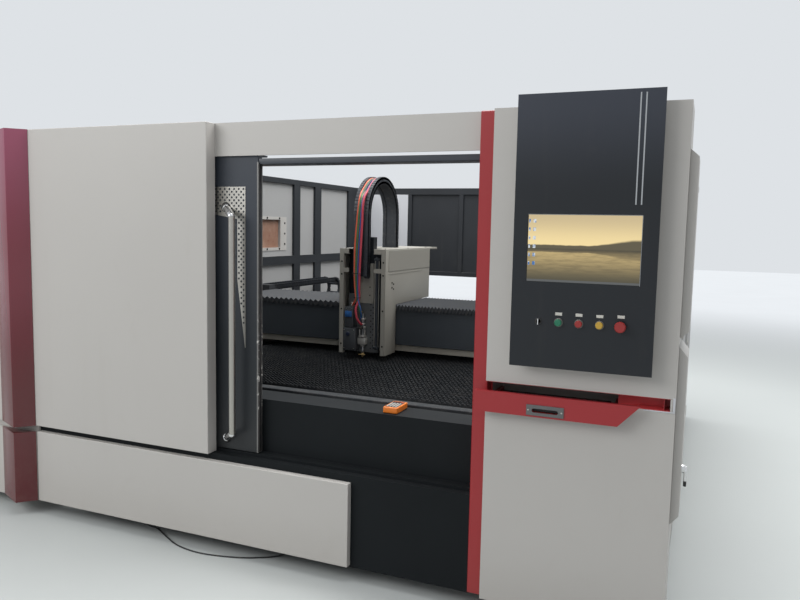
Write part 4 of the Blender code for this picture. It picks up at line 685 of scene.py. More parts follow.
def screws(name, body, slot, groups, radius, height):
    """Socket cap screws as one piece, from groups of (side that they face, list of places)."""
    rule = Rule("socket_screws", Head_Radius=0.005, Head_Height=0.003, Sides=12)
    high = rule["Head_Height"]
    head = rule.node("GeometryNodeMeshCylinder", {"Vertices": rule["Sides"], "Radius": rule["Head_Radius"],
                                                  "Depth": high})
    head = rule.move(head, rule.vector(z=high * 0.5))
    rim = rule.extrude(head, 0.0, rule.node("GeometryNodeInputNormal").part(2) > 0.5)
    top = rim.output("Top")
    inner = rule.node("GeometryNodeScaleElements", {"Geometry": rim, "Selection": top, "Scale": 0.55})
    turn = rule.node("GeometryNodeInputNamedAttribute", {"Name": "turn"}, data_type="FLOAT_VECTOR")
    rule.finish(rule.copies(rule["Geometry"], rule.extrude(inner, high * -0.6, top), turn), "black_screw")
    places = bpy.data.meshes.new(name + "_spots")
    places.from_pydata([spot for side, spots in groups for spot in spots], [], [])
    turns = places.attributes.new("turn", "FLOAT_VECTOR", "POINT")
    turns.data.foreach_set("vector", [part for side, spots in groups for part in FACING[side] * len(spots)])
    rule.make(name, body, slot, 30, base=places, Head_Radius=radius, Head_Height=height)


# ---------------------------------------------------------------- sliding leaf, pull bar and perforated plate

LEAF_FRONT = -1.83
BAR, BAR_SPAN, BAR_RADIUS = (-0.024, -1.89), (0.597, 1.616), 0.0155
BAR_MOUNTS = ((-0.097, 0.556), (-0.097, 1.660))


def make_pull_bar():
    form = Form("nickel_bar").stud((*BAR, BAR_SPAN[0]), (*BAR, BAR_SPAN[1]), BAR_RADIUS, 28)
    for (x, z), near in zip(BAR_MOUNTS, (BAR_SPAN[0] + 0.004, BAR_SPAN[1] - 0.004)):
        form.use("chrome_plate").rod((BAR[0] + 0.005, BAR[1] - 0.004, near), (x, LEAF_FRONT - 0.003, z),
                                     [(0, 0), (0.01, 0.010), (0.05, 0.015), (0.10, 0.0168), (0.9, 0.0168),
                                      (0.91, 0.0185), (1, 0.0185), (1, 0)], 28)
        form.use("black_plastic").stud((x, LEAF_FRONT - 0.0005, z), (x, LEAF_FRONT - 0.010, z), 0.0235, 28, 0.0205)
    add("tubular_pull_bar", form, "door", hides=("pull_bar",))


def make_perforated_plate():
    """The outline and its holes are filled as one flat face, which then gets the sheet's thickness."""
    left, right, strip, top = -0.215, 0.011, 0.045, 1.755
    low, taper, tip = top - 0.135, top - 0.435, top - 0.752
    outline = [(left, top), (left, low + 0.014), (right - strip, low - 0.014), (right - strip, taper),
               (right - 0.003, tip), (right, tip), (right, top)]
    margin, pitch, holes = 0.0065, 0.013, []
    for row in range(int((top - tip) / pitch)):
        for column in range(int((right - left) / pitch)):
            x, z = right - (column + 0.8) * pitch, top - (row + 0.8) * pitch
            edge = right - strip
            if z < taper:
                edge += (taper - z) / (taper - tip) * (strip - 0.003)
            elif z > low + margin + 0.014:
                edge = left
            clear = hypot(x - BAR_MOUNTS[1][0], z - BAR_MOUNTS[1][1]) > 0.030
            if (row + column) % 2 == 0 and x > edge + margin and clear:
                holes.append((x, z, 0.0))
    rule = Rule("perforated_sheet", Hole_Radius=0.0052, Sheet=0.002, Sides=14)
    hole = rule.node("GeometryNodeCurvePrimitiveCircle", {"Resolution": rule["Sides"], "Radius": rule["Hole_Radius"]})
    edge = rule.node("GeometryNodeInputNamedAttribute", {"Name": "edge"}, data_type="BOOLEAN")
    points = rule.node("GeometryNodeDeleteGeometry", {"Geometry": rule["Geometry"], "Selection": edge},
                       domain="POINT")
    border = rule.node("GeometryNodeMeshToCurve", {"Mesh": rule["Geometry"]})
    rings = rule.node("GeometryNodeRealizeInstances", {"Geometry": rule.copies(points, hole)})
    flat = rule.node("GeometryNodeFillCurve", {"Curve": rule.join(border, rings)})
    back = rule.node("GeometryNodeFlipFaces", {"Mesh": flat})
    rule.finish(rule.join(rule.extrude(flat, rule["Sheet"], single=False), back), "bare_steel")
    base, count = bpy.data.meshes.new("perforated_places"), len(outline)
    base.from_pydata([(x, z, 0.0) for x, z in outline] + holes, [(i, (i + 1) % count) for i in range(count)], [])
    layer = base.attributes.new("edge", "BOOLEAN", "POINT")
    layer.data.foreach_set("value", [True] * count + [False] * len(holes))
    rule.make("perforated_sheet_plate", "door", "bare_steel", 30, (0.0, LEAF_FRONT - 0.0003, 0.0),
              ("perforated_plate",), Matrix.Rotation(pi / 2, 4, "X"), base)


def make_leaf_edge():
    """An aluminium channel with a brush seal, splashed with filler lower down."""
    low, high = 0.5035, 1.867
    form = Form("edge_strip").prism([(0.0745, -1.8325), (0.0813, -1.8325), (0.0813, -1.797), (0.0797, -1.797),
                                     (0.0797, -1.831), (0.0745, -1.831)], "Z", (low, high))
    add("leaf_edge_strip", form, "door")
    form = Form("black_rubber_seal").box((0.0815, 0.0838), (-1.822, -1.806), (low + 0.004, high - 0.004), 0.001)
    add("leaf_brush_seal", form, "door")


# ---------------------------------------------------------------- slat table

def make_slats():
    (left, right), (front, rear) = (-0.77, 1.26), (-1.60, 1.75)
    rim, low, top, tooth = 0.06, 0.6903, 0.775, 0.012
    across, sides = (left + rim, right - rim), (low, top - tooth)
    form = Form("scaled_steel").sheets(
        ((left, left + rim), (front, rear), sides), ((right - rim, right), (front, rear), sides),
        (across, (front, front + rim), sides), (across, (rear - rim, rear), sides), edge=0.003)
    for place in (front + 0.5 + k * 0.78 for k in range(4)):
        form.box(across, (place, place + 0.04), (low, low + 0.03), 0.002, 1)
    add("slat_table_frame", form, "table", hides=("slat_table",))
    rule = Rule("toothed_slats", Slats=70, Slat_Pitch=0.0455, Teeth=78, Tooth_Pitch=0.025, Tooth_Height=tooth,
                Sheet=0.003, Drop=0.055, Lean=0.05, Seed=4)
    pitch, high, sheet, drop, lean = (rule[n] for n in ("Tooth_Pitch", "Tooth_Height", "Sheet", "Drop", "Lean"))
    long = pitch * rule["Teeth"]
    prism = rule.node("GeometryNodeMeshCylinder", {"Vertices": 3, "Radius": 1.0, "Depth": 1.0})
    shape = rule.move(rule.move(prism, turn=(pi / 2, 0.0, 0.0)), rule.vector(z=high * -0.67),
                      scale=rule.vector(pitch * 0.577, sheet, high * 0.667))
    teeth = rule.copies(rule.line(rule["Teeth"], rule.vector(pitch), rule.vector(pitch * 0.5)), shape)
    web = rule.box(long, sheet, drop - high, rule.vector(long * 0.5, 0.0, (drop + high) * -0.5))
    turn = rule.node("FunctionNodeRandomValue", {
        "Min": rule.vector(lean * -1.0, 0.0, -0.002), "Max": rule.vector(lean, 0.0, 0.002), "Seed": rule["Seed"]},
        data_type="FLOAT_VECTOR")
    slats = rule.copies(rule.line(rule["Slats"], rule.vector(y=rule["Slat_Pitch"])), rule.join(teeth, web), turn)
    rule.finish(slats, "scaled_steel")
    rule.make("toothed_slats", "table", "scaled_steel", 20, (left + 0.04, front + 0.105, top - 0.0005))


# ---------------------------------------------------------------- bellows

def make_bellows():
    """Pleated cloth: a sheet folded along X, its front lip hanging in points at the ridges."""
    rule = Rule("pleated_bellows", Length=0.9, Pleats=26, Depth=0.54, Rise=0.014, Lip=0.03, Notch=0.017)
    pleats = rule["Pleats"]
    sheet = rule.node("GeometryNodeMeshGrid", {"Size X": 1.0, "Size Y": 1.0, "Vertices X": pleats * 4 + 1,
                                               "Vertices Y": 6})
    place = rule.node("GeometryNodeInputPosition")
    along, row = place.part(0) + 0.5, (place.part(1) + 0.5) * 5.0
    ridge = 1.0 - ((along * pleats + 0.5).wrap(1.0) - 0.5).size() * 2.0
    lip, tip = (row < 1.5) * (row > -0.5), row < 0.5
    y = (row - 1.0).most(0.0) / 4.0 * rule["Depth"] - lip * 0.004 * ridge
    drop = tip * (rule["Lip"] - rule["Notch"] * (1.0 - ridge))
    z = ridge * rule["Rise"] * (1.0 - tip) - drop
    moved = rule.node("GeometryNodeSetPosition", {"Geometry": sheet,
                                                  "Position": rule.vector(along * rule["Length"], y, z)})
    rule.finish(rule.join(moved, rule.extrude(moved, -0.0008, single=False)), "bellows_cloth")
    for name, (left, right), pleats, fixed, moving in (
            ("bellows_left", (-0.974, -0.083), 24, -0.974, -0.083),
            ("bellows_right", (0.227, 1.535), 60, 1.535, 0.227)):
        cloth = rule.make("pleated_" + name, None, "bellows_cloth", 25, (left, -0.529, 1.0925),
                          Length=right - left, Pleats=pleats)
        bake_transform(cloth)
        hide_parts(name)


# ---------------------------------------------------------------- energy chains

def chain(name, body, spots, hides=(), **sizes):
    """Chain links along a line of points: two side plates with a pin boss, an inner floor bar and cross bars."""
    rule = Rule("chain_links", Link_Pitch=0.0236, Width=0.096, Band=0.045, Plate=0.014, Open=0.0, Bar_Every=1.0)
    band, plate, pitch, width, wide = (rule[n] for n in ("Band", "Plate", "Link_Pitch", "Width", "Open"))
    disc = rule.node("GeometryNodeMeshCylinder", {"Vertices": 14, "Radius": 0.5, "Depth": 1.0})
    disc = rule.move(disc, turn=(0.0, pi / 2, 0.0))
    shape = rule.join(rule.move(disc, scale=rule.vector(plate, band, band)), rule.box(plate, band, pitch * 0.80),
                      rule.move(disc, scale=rule.vector(plate * 1.12, band * 0.3, band * 0.3)))
    reach = (width - plate) * 0.5
    plates = rule.join(rule.move(shape, rule.vector(reach)), rule.move(shape, rule.vector(reach * -1.0)))
    floor = rule.box(width - plate, 0.004, pitch * (0.72 + wide * 0.35), rule.vector(y=band * (0.10 + wide * 0.24)))
    bar = rule.box(width - plate, 0.006, pitch * 0.5, rule.vector(y=band * -0.42))
    bars = rule.node("GeometryNodeSwitch", {"Switch": wide < 0.5, "True": bar}, input_type="GEOMETRY")
    line = rule.node("GeometryNodeMeshToCurve", {"Mesh": rule["Geometry"]})
    even = rule.node("GeometryNodeResampleCurve", {"Curve": line, "Length": pitch}, mode="LENGTH")
    points = rule.node("GeometryNodeCurveToPoints", {"Curve": even}, mode="EVALUATED")
    facing = rule.node("FunctionNodeAlignRotationToVector", {"Vector": points.output("Tangent")}, axis="Z",
                       pivot_axis="X")
    barred = rule.node("GeometryNodeInputIndex").wrap(rule["Bar_Every"]) < 0.5
    rule.finish(rule.join(rule.copies(points, plates, facing),
                          rule.copies(points, rule.join(floor, bars), facing, barred)), "chain_plastic")
    base = bpy.data.meshes.new(name + "_line")
    base.from_pydata(spots, [(i, i + 1) for i in range(len(spots) - 1)], [])
    return rule.make(name, body, "black_plastic", 30, hides=hides, base=base, **sizes)


ARCH_X = (0.004, 0.100)
ARCH_MIDDLE = sum(ARCH_X) / 2
ARCH_FRONT, ARCH_REAR, ARCH_BAND = -0.69, -0.211, 0.045
ARCH_RADIUS = (ARCH_REAR - ARCH_FRONT - ARCH_BAND) / 2
ARCH_TURN = 1.897 - ARCH_BAND / 2 - ARCH_RADIUS
ARCH_LOW, ARCH_SEAT = 1.29, 1.4505


def arch_place(s, out=0.0, x=ARCH_MIDDLE):
    """A point of the arch's middle line: s runs 0 to 1 up the front leg, 1 to 2 over, 2 to 3 down the rear."""
    front, rear = ARCH_FRONT + ARCH_BAND / 2, ARCH_REAR - ARCH_BAND / 2
    if s <= 1.0:
        return Vector((x, front - out, ARCH_LOW + (ARCH_TURN - ARCH_LOW) * s))
    if s >= 2.0:
        return Vector((x, rear + out, ARCH_TURN + (ARCH_SEAT - ARCH_TURN) * (s - 2.0)))
    angle = (s - 1.0) * pi
    reach = ARCH_RADIUS + out
    return Vector((x, (front + rear) / 2 - reach * cos(angle), ARCH_TURN + reach * sin(angle)))


def make_arch():
    steps = [k / 8 for k in range(9)] + [1 + k / 24 for k in range(1, 25)] + [2 + k / 4 for k in range(1, 5)]
    links = chain("hose_chain", None, [arch_place(s) for s in steps], Link_Pitch=0.0205,
                  Width=ARCH_X[1] - ARCH_X[0], Plate=0.023, Band=ARCH_BAND, Open=1.0)
    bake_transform(links)
    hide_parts("hose_arch")


def make_hoses():
    """Hoses in the chain's channel: over the arch, down its front leg to a tie, and from there to the head."""
    over = [(2.9, 0.010), (2.5, 0.012), (2.1, 0.012), (1.8, 0.013), (1.6, 0.013), (1.4, 0.013), (1.22, 0.015)]
    heights = (1.74, 1.60, 1.46, 1.33, 1.22, 1.15)
    form = Form("orange_hose")
    # Finish, radius, place across the channel, x and y at each height, places beyond the tie
    for finish, radius, across, xs, ys, ends in (
            ("orange_hose", 0.0055, 0.032, (0.044, 0.036, 0.030, 0.028, 0.030, 0.034),
             (-0.698, -0.712, -0.720, -0.720, -0.714, -0.707),
             [(0.024, -0.704, 1.125), (0.010, -0.694, 1.108), (0.0, -0.682, 1.098)]),
            ("green_hose", 0.0050, 0.043, (0.052, 0.044, 0.039, 0.037, 0.037, 0.040),
             (-0.697, -0.710, -0.716, -0.716, -0.711, -0.705),
             [(0.040, -0.702, 1.12), (0.054, -0.696, 1.08), (0.058, -0.688, 1.05), (0.060, -0.672, 1.03)]),
            ("yellow_hose", 0.0030, 0.053, (0.056, 0.047, 0.041, 0.039, 0.040, 0.043),
             (-0.694, -0.704, -0.708, -0.708, -0.705, -0.700),
             [(0.044, -0.697, 1.12), (0.050, -0.690, 1.09), (0.062, -0.676, 1.06)]),
            ("blue_hose", 0.0040, 0.062, (0.062, 0.056, 0.051, 0.047, 0.046, 0.048),
             (-0.693, -0.704, -0.710, -0.711, -0.707, -0.703),
             [(0.054, -0.706, 1.12), (0.068, -0.708, 1.085), (0.068, -0.700, 1.04), (0.058, -0.690, 1.015)]),
            ("rose_hose", 0.0075, 0.070, (0.071, 0.067, 0.063, 0.058, 0.054, 0.052),
             (-0.694, -0.703, -0.708, -0.708, -0.703, -0.696),
             [(0.046, -0.704, 1.12), (0.038, -0.714, 1.08), (0.044, -0.712, 1.03), (0.056, -0.700, 1.0),
              (0.062, -0.678, 0.985)]),
            ("black_hose", 0.0060, 0.050, (0.050, 0.048, 0.044, 0.040, 0.038, 0.040),
             (-0.688, -0.692, -0.696, -0.697, -0.696, -0.694),
             [(0.036, -0.692, 1.12), (0.018, -0.686, 1.105), (0.010, -0.678, 1.098)])):
        spots = [arch_place(s, out, across) for s, out in over] + list(zip(xs, ys, heights)) + ends
        form.use(finish).tube(smooth_line(spots, 0.018), radius, 8)
    # Ties round the bundle, and the two white plugs on the head's box
    form.use("black_plastic")
    for z, half in ((1.152, 0.021), (1.30, 0.028)):
        loop = [(0.040 + half * cos(2 * pi * k / 20), -0.7035 - (z - 1.152) * 0.05 + 0.0155 * sin(2 * pi * k / 20), z)
                for k in range(20)]
        form.tube(loop + loop[:2], 0.0026, 6)
    form.use("white_plastic")
    for x in (0.0, 0.010):
        form.rod((x, -0.680, 1.0955), (x, -0.683, 1.118), [(0, 0), (0, 0.0075), (0.5, 0.0075), (0.6, 0.006),
                                                           (1, 0.0055), (1, 0)], 14)
    bundle = add("head_hoses", form, None, 50)
    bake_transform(bundle)


def make_side_chain():
    """Chain beside the left wall: its lower run stays on the shelf, its upper run follows the gantry."""
    low, high, band, bend = 0.945, 1.136, 0.042, 1.13
    x, start, end = (-1.13 - 1.015) / 2, -0.30, -0.0253
    radius = (high - low - band) / 2
    y, z = bend - band / 2 - radius, (low + high) / 2
    lower = [(x, start + (y - start) * k / 30, low + band / 2) for k in range(31)]
    turn = [(x, y + radius * sin(pi * k / 16), z - radius * cos(pi * k / 16)) for k in range(1, 17)]
    upper = [(x, y + (end - y) * k / 30, high - band / 2) for k in range(31)]
    sizes = dict(Link_Pitch=0.0355, Width=0.115, Plate=0.012, Band=band, Bar_Every=3.0)
    chain("side_chain_lower", "machine", lower + turn, ("y_chain",), **sizes)
    run = chain("side_chain_upper", None, upper, **sizes)
    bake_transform(run)


# ---------------------------------------------------------------- carriage and cutting head

HEAD_BACK = -0.6413


def make_head():
    form = Form("head_grey").box((-0.046, 0.012), (-0.698, HEAD_BACK), (0.965, 1.092), 0.004)
    form.box((-0.056, 0.030), (-0.701, HEAD_BACK), (0.822, 0.962), 0.005)
    form.use("blue_connector").box((-0.040, 0.006), (-0.7065, -0.698), (1.030, 1.066), 0.002)
    form.box((-0.028, -0.008), (-0.7085, -0.706), (1.040, 1.056), 0.001)
    form.use("navy_knob").stud((-0.020, -0.699, 0.925), (-0.020, -0.7085, 0.925), 0.0135, 18, 0.011, 0.7)
    form.use("nickel_bar")
    for x, z in ((-0.034, 1.082), (0.002, 1.082), (-0.046, 0.835), (0.020, 0.835), (-0.046, 0.95), (0.020, 0.95)):
        form.stud((x, -0.697, z), (x, -0.7035, z), 0.0035, 10, 0.0028, 0.8)
    add("head_connector_boxes", form, "head", hides=("head_body",))
    # Focus block and nozzle column
    x, y = 0.062, -0.658
    form = Form("satin_nickel").box((x - 0.027, x + 0.027), (y - 0.022, y + 0.015), (0.860, 0.902), 0.003)
    form.box((x - 0.019, x + 0.019), (y - 0.025, y + 0.012), (0.905, 0.917), 0.002)
    for side in (x - 0.018, x + 0.018):
        form.rod((side, y - 0.010, 0.917), (side, y - 0.010, 0.952), [(0, 0.004), (0.8, 0.004), (1, 0.003)], 12)
    add("focus_block", form, "head", hides=("head_sensor",))
    turned = [(0, 0.001), (0.004, 0.0032), (0.10, 0.0085), (0.12, 0.0115), (0.17, 0.0115), (0.18, 0.0095),
              (0.30, 0.0095), (0.31, 0.013), (0.36, 0.013), (0.37, 0.010), (0.60, 0.010), (0.61, 0.0145),
              (0.66, 0.0155), (0.70, 0.0145), (0.71, 0.011), (0.80, 0.011), (0.81, 0.014), (0.9, 0.014),
              (0.91, 0.010), (1, 0.0095), (1, 0)]
    form = Form("plate_grey").rod((x, y, 0.78), (x, y, 1.05), turned, 24)
    form.use("brass").rod((x, y, 0.779), (x, y, 0.806), [(0, 0), (0, 0.0022), (0.45, 0.009), (0.5, 0.0105),
                                                         (0.85, 0.0105), (0.9, 0.009), (1, 0.009), (1, 0)], 20)
    form.box((x - 0.022, x + 0.022), (y - 0.014, y - 0.008), (0.7945, 0.800), 0.001)
    form.use("satin_nickel")
    for low, high, radius in ((0.848, 0.856, 0.0165), (0.962, 0.972, 0.0175), (0.985, 0.991, 0.016),
                              (1.012, 1.024, 0.0165)):
        form.rod((x, y, low), (x, y, high), [(0, 0.009), (0, radius - 0.001), (0.15, radius), (0.85, radius),
                                             (1, radius - 0.001), (1, 0.009)], 24)
    form.use("black_plastic").rod((x, y - 0.006, 0.965), (x, y - 0.040, 0.968),
                                  [(0, 0), (0, 0.010), (0.9, 0.012), (1, 0.010), (1, 0)], 16)
    add("nozzle_column", form, "head", hides=("nozzle",))
    # Slide rods on the column, and the bracket's stiffening gusset
    form, y = Form("bare_steel"), -0.655
    for x in (0.1375, 0.1635):
        form.stud((x, y, 0.840), (x, y, 1.385), 0.0026, 12)
    form.use("cover_paint").stud((0.150, y, 0.832), (0.150, y, 1.40), 0.0085, 20, 0.0065, 0.985)
    for z in (0.838, 1.378):
        form.box((0.1335, 0.172), (-0.667, -0.6435), (z, z + 0.014), 0.0015)
    add("column_slide_rods", form, "carriage")
    form = Form("beige_paint")
    form.prism([(-0.6455, 1.115), (-0.6645, 1.13), (-0.6645, 1.20), (-0.6455, 1.36)], "X", (0.1285, 0.1315))
    add("bracket_gusset", form, "head")


def make_carriage_details():
    plate = [(0.107, HEAD_BACK, 0.835 + 0.034 * k) for k in range(9)]
    plate += [(0.122, HEAD_BACK, 0.852 + 0.034 * k) for k in range(8)]
    plate += [(x, -0.6452, z) for x, z in ((0.100, 1.165), (0.119, 1.14), (0.119, 1.19), (0.100, 1.215))]
    screws("head_plate_screws", "head", "bare_steel", [("front", plate)], 0.0038, 0.002)
    posts = [(x, -0.70, z) for x in (-0.067, 0.211) for z in (1.37, 1.292, 1.078, 0.862)]
    side = [(0.226, y, z) for y, z in ((-0.60, 1.245), (-0.575, 1.235), (-0.60, 1.215), (-0.575, 1.205))]
    top = [(x, y, 1.45) for x in (-0.06, 0.205) for y in (-0.66, -0.30, 0.02, 0.17)]
    screws("carriage_screws", "carriage", "beige_paint", [("front", posts), ("right", side), ("up", top)],
           0.0052, 0.0022)
    # Raised lid of the right side, with its folded edge
    form = Form("beige_paint").sheets(((0.226, 0.2285), (-0.655, 0.045), (1.315, 1.443)), edge=0.0008)
    form.sheets(((0.226, 0.2275), (-0.650, -0.09), (1.296, 1.303)), edge=0.0005)
    add("carriage_side_lid", form, "carriage")


CARRIAGE_X, CARRIAGE_Y, CARRIAGE_Z = (-0.082, 0.226), (-0.70, 0.05), (0.804, 1.45)
LEG_BACK, CARRIAGE_FLOOR, PASS_X = -0.53, 1.108, (-0.02, 0.147)


def make_carriage_housing():
    """Folded sheet housing: two sides with legs, slotted top with its thin rear flange, posts and bars in front."""
    (left, right), (front, back), (tip, top), floor = CARRIAGE_X, CARRIAGE_Y, CARRIAGE_Z, CARRIAGE_FLOOR
    flange = back + 0.15
    form = Form("beige_paint")
    side = [(front, tip), (LEG_BACK, tip), (LEG_BACK, floor), (back, floor), (back, top - 0.001),
            (front, top - 0.001)]
    for x in (left, right - 0.003):
        form.prism(side, "X", (x, x + 0.003), 0.0012)
        form.sheets(((x, x + 0.003), (back, flange), (top - 0.012, top - 0.002)))
    lid = [(left, front), (PASS_X[0], front), (PASS_X[0], LEG_BACK), (PASS_X[1], LEG_BACK), (PASS_X[1], front),
           (right, front), (right, flange), (left, flange)]
    form.prism(lid, "Z", (top - 0.004, top), 0.0012)
    form.sheets(((left, right), (flange - 0.003, flange), (top - 0.016, top - 0.002)))
    for post, fold in (((left, left + 0.03), (left + 0.027, left + 0.03)),
                       ((right - 0.03, right), (right - 0.03, right - 0.027))):
        form.sheets((post, (front, front + 0.003), (tip, top - 0.002)),
                    (fold, (front, front + 0.022), (tip, 1.43)),
                    (post, (front, front + 0.02), (tip, tip + 0.003)))
    for bar in ((left + 0.027, PASS_X[0]), (PASS_X[1], right - 0.027)):
        for deep, z in ((0.0035, (1.304, 1.330)), (0.020, (1.327, 1.330)),
                        (0.0035, (1.417, top - 0.002)), (0.020, (1.417, 1.420))):
            form.sheets((bar, (front + 0.0005, front + deep), z))
    across = (left + 0.002, right - 0.002)
    form.box(across, (LEG_BACK - 0.004, LEG_BACK - 0.001), (tip + 0.004, floor + 0.003))
    form.box(across, (LEG_BACK - 0.004, back - 0.001), (floor, floor + 0.003))
    form.box(across, (back - 0.004, back), (floor, top - 0.003))
    form.box((left + 0.01, right - 0.01), (-0.45, -0.05), (1.0805, floor), 0.003)
    add("carriage_housing", form, "carriage", 25, ("carriage_frame",))


# ---------------------------------------------------------------- operator console, drawer and remote control

PLATE = -1.97
SCREEN_X, SCREEN_Z = (1.3665, 1.7775), (1.389, 1.6415)
CONTROLS = [1.42 + 0.0748 * k for k in range(5)]


def make_console():
    form = Form("bright_trim")
    for x in (1.7475, 1.7665):
        form.sheets(((x, x + 0.005), (PLATE - 0.0012, PLATE), (1.678, 2.069)), edge=0.0004)
    add("console_trim_strips", form, "machine")
    form = Form("white_plastic")
    for x, z in zip(CONTROLS[1:], (1.2718, 1.2718, 1.2718, 1.2748)):
        form.sheets(((x - 0.0125, x + 0.0125), (PLATE - 0.0010, PLATE), (z - 0.005, z + 0.006)), edge=0.0004)
    add("button_label_plates", form, "machine")
    form = Form("black_plastic")
    for k, (x, radius) in enumerate(zip(CONTROLS, (0.0125, 0.0165, 0.0165, 0.0165, 0.0175))):
        form.use("black_plastic" if k in (0, 4) else "dull_ring")
        form.stud((x, PLATE, 1.24), (x, PLATE - 0.0040, 1.24), radius, 28, radius - 0.0018)
    add("button_rings", form, "machine")
    (left, right), (low, high) = SCREEN_X, SCREEN_Z
    form = Form("display_picture").box((left + 0.002, right - 0.002), (PLATE + 0.0012, PLATE + 0.0019),
                                       (low + 0.002, high - 0.002))
    add("display_panel", form, "machine")
    form, deep = Form("bright_trim"), (PLATE - 0.0004, PLATE + 0.001)
    form.box(SCREEN_X, deep, (high - 0.0012, high)).box((right - 0.0012, right), deep, SCREEN_Z)
    add("display_edge", form, "machine")


def make_drawer():
    rule = Rule("key_caps", Columns=15, Rows=5, Key_Pitch=0.0188, Cap=0.0155, Rise=0.006)
    cap, rise, pitch = (rule[n] for n in ("Cap", "Rise", "Key_Pitch"))
    block = rule.box(cap, cap, rise, rule.vector(z=rise * 0.5))
    up = rule.node("GeometryNodeInputNormal").part(2) > 0.5
    block = rule.node("GeometryNodeScaleElements", {"Geometry": block, "Selection": up, "Scale": 0.8})
    row = rule.copies(rule.line(rule["Columns"], rule.vector(pitch)), block)
    rule.finish(rule.copies(rule.line(rule["Rows"], rule.vector(y=pitch)), row), "key_plastic")
    rule.make("keyboard_keys", "drawer", "black_plastic", 30, (1.265, -1.9105, 0.9222))
    rule.make("number_keys", "drawer", "black_plastic", 30, (1.565, -1.9105, 0.9222), Columns=4)
    form = Form("black_plastic").sheets(((1.405, 1.507), (-1.9435, -1.9418), (0.8875, 0.904)), edge=0.0005)
    form.use("bare_steel")
    for x in (1.392, 1.5195):
        form.rod((x, -1.9635, 0.895), (x, -1.9655, 0.895), [(0, 0.0032), (0.6, 0.0032), (1, 0.0022), (1, 0)], 12)
    add("drawer_pull_back", form, "drawer")
    form = Form("panel_paint").sheets(((1.9005, 1.9085), (-1.912, -1.834), (0.9335, 0.9795)), edge=0.0008)
    form.use("red_paint").box((1.878, 1.880), (-1.908, -1.834), (0.9355, 0.9775))
    add("slot_end_lips", form, "machine")
    # Remote control: keypad, display line and keys, a little inset from the moulded edge
    x, y, top = 0.728, -1.70, 0.7833
    form = Form("keypad_grey")
    form.sheets(((x - 0.028, x + 0.028), (y - 0.054, y + 0.050), (top - 0.001, top + 0.0008)), edge=0.0004)
    form.use("display_line").box((x - 0.023, x + 0.010), (y + 0.028, y + 0.044), (top + 0.0006, top + 0.0014))
    form.use("red_plastic").stud((x + 0.019, y + 0.036, top), (x + 0.019, y + 0.036, top + 0.003), 0.0062, 16, 0.005)
    add("remote_keypad", form, "machine")
    keys = rule.make("remote_keys", "machine", "grey_plastic", 30, (x - 0.0204, y - 0.044, top + 0.0005),
                     Columns=4, Rows=5, Key_Pitch=0.0136, Cap=0.0074, Rise=0.0022)
    keys.data.materials.clear()
    keys.data.materials.append(FINISH["white_plastic"])


# ---------------------------------------------------------------- walls, trims and side

def make_shell():
    for level, z in (("upper", (0.487, 2.0465)), ("lower", (0.075, 0.456))):
        form = Form("wine_gloss").prism([(-1.52, -1.9103), (-1.27, -1.9103), (-1.272, -1.9150), (-1.341, -1.9890),
                                         (-1.345, -1.9890), (-1.517, -1.9140)], "Z", z)
        add("ridge_trim_" + level, form, "machine", 25, ("left_trim_" + level,))
    x = -1.2217
    bolts = [(x, y, z) for z in (1.391, 1.638) for y in (-0.13, 0.07, 0.25, 0.43)]
    bolts += [(x, 0.510, z) for z in (1.43, 1.515, 1.60)] + [(x, -0.13, 1.515)]
    screws("window_screws", "machine", "panel_paint", [("right", bolts)], 0.008, 0.003)
    x, pivot, bend = 1.9496, 0.708, 0.663
    form = Form("chrome_plate").stud((x, -1.84, pivot), (x + 0.012, -1.84, pivot), 0.016, 24, 0.013)
    form.prism([(-1.85, pivot + 0.012), (-1.852, bend), (-1.828, bend), (-1.83, pivot + 0.012)], "X",
               (x + 0.0085, x + 0.019), 0.003)
    form.use("black_plastic").prism([(-1.8505, bend), (-1.848, 0.642), (-1.832, 0.642), (-1.8295, bend)], "X",
                                    (x + 0.008, x + 0.0195), 0.003)
    add("swing_lever", form, "side_lever", hides=("side_door_handle",))
    wall, out = 1.9193, 1.9493
    for name, body, node, low, high, cut in (("side_hood_upper", "machine", "side_cover_upper", 1.20, 1.88, 0.027),
                                             ("side_hood_door", "side_door", "side_door", 0.50, 1.17, 0.036)):
        form = Form("panel_paint").prism([(wall, low), (out, low + cut), (out, high - cut), (wall, high)], "Y",
                                         (-1.88, -1.66), 0.0015)
        add(name, form, body, 25, (node,))
    y = (-1.9135, -1.9102)
    form = Form("white_wall").sheets(((1.808, 1.9175), y, (0.9285, 0.9332)), ((1.9092, 1.9175), y, (0.9332, 0.9845)),
                                     edge=0.0008)
    add("slot_edge_lip", form, "machine")
    (x0, y0, _), (x1, y1, _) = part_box("door_top_rail")
    form = Form("rail_paint").prism([(y0, 1.858), (y1, 1.858), (y1, 1.861), (y0 + 0.003, 1.861), (y0 + 0.003, 1.880),
                                     (y1, 1.880), (y1, 1.883), (y0, 1.883)], "X", (x0, x1), 0.0006)
    for x in (x0 + 0.02, 0.04, x1 - 0.03):
        form.sheets(((x - 0.018, x + 0.018), (y1 - 0.004, y1 - 0.001), (1.860, 1.8955)), edge=0.0008)
    add("door_rail_track", form, "machine", 25, ("door_top_rail",))
    # Pivots above and below the side door, on its hinge line
    form, y = Form("panel_paint"), -1.66
    for low, high in ((0.484, 0.498), (1.172, 1.186)):
        form.stud((wall, y, low), (wall, y, high), 0.008, 20)
        form.box((1.9175, 1.9235), (y + 0.006, y + 0.030), (low, high), 0.001)
    add("side_door_hinges", form, "machine")


# ---------------------------------------------------------------- outer sides and rear

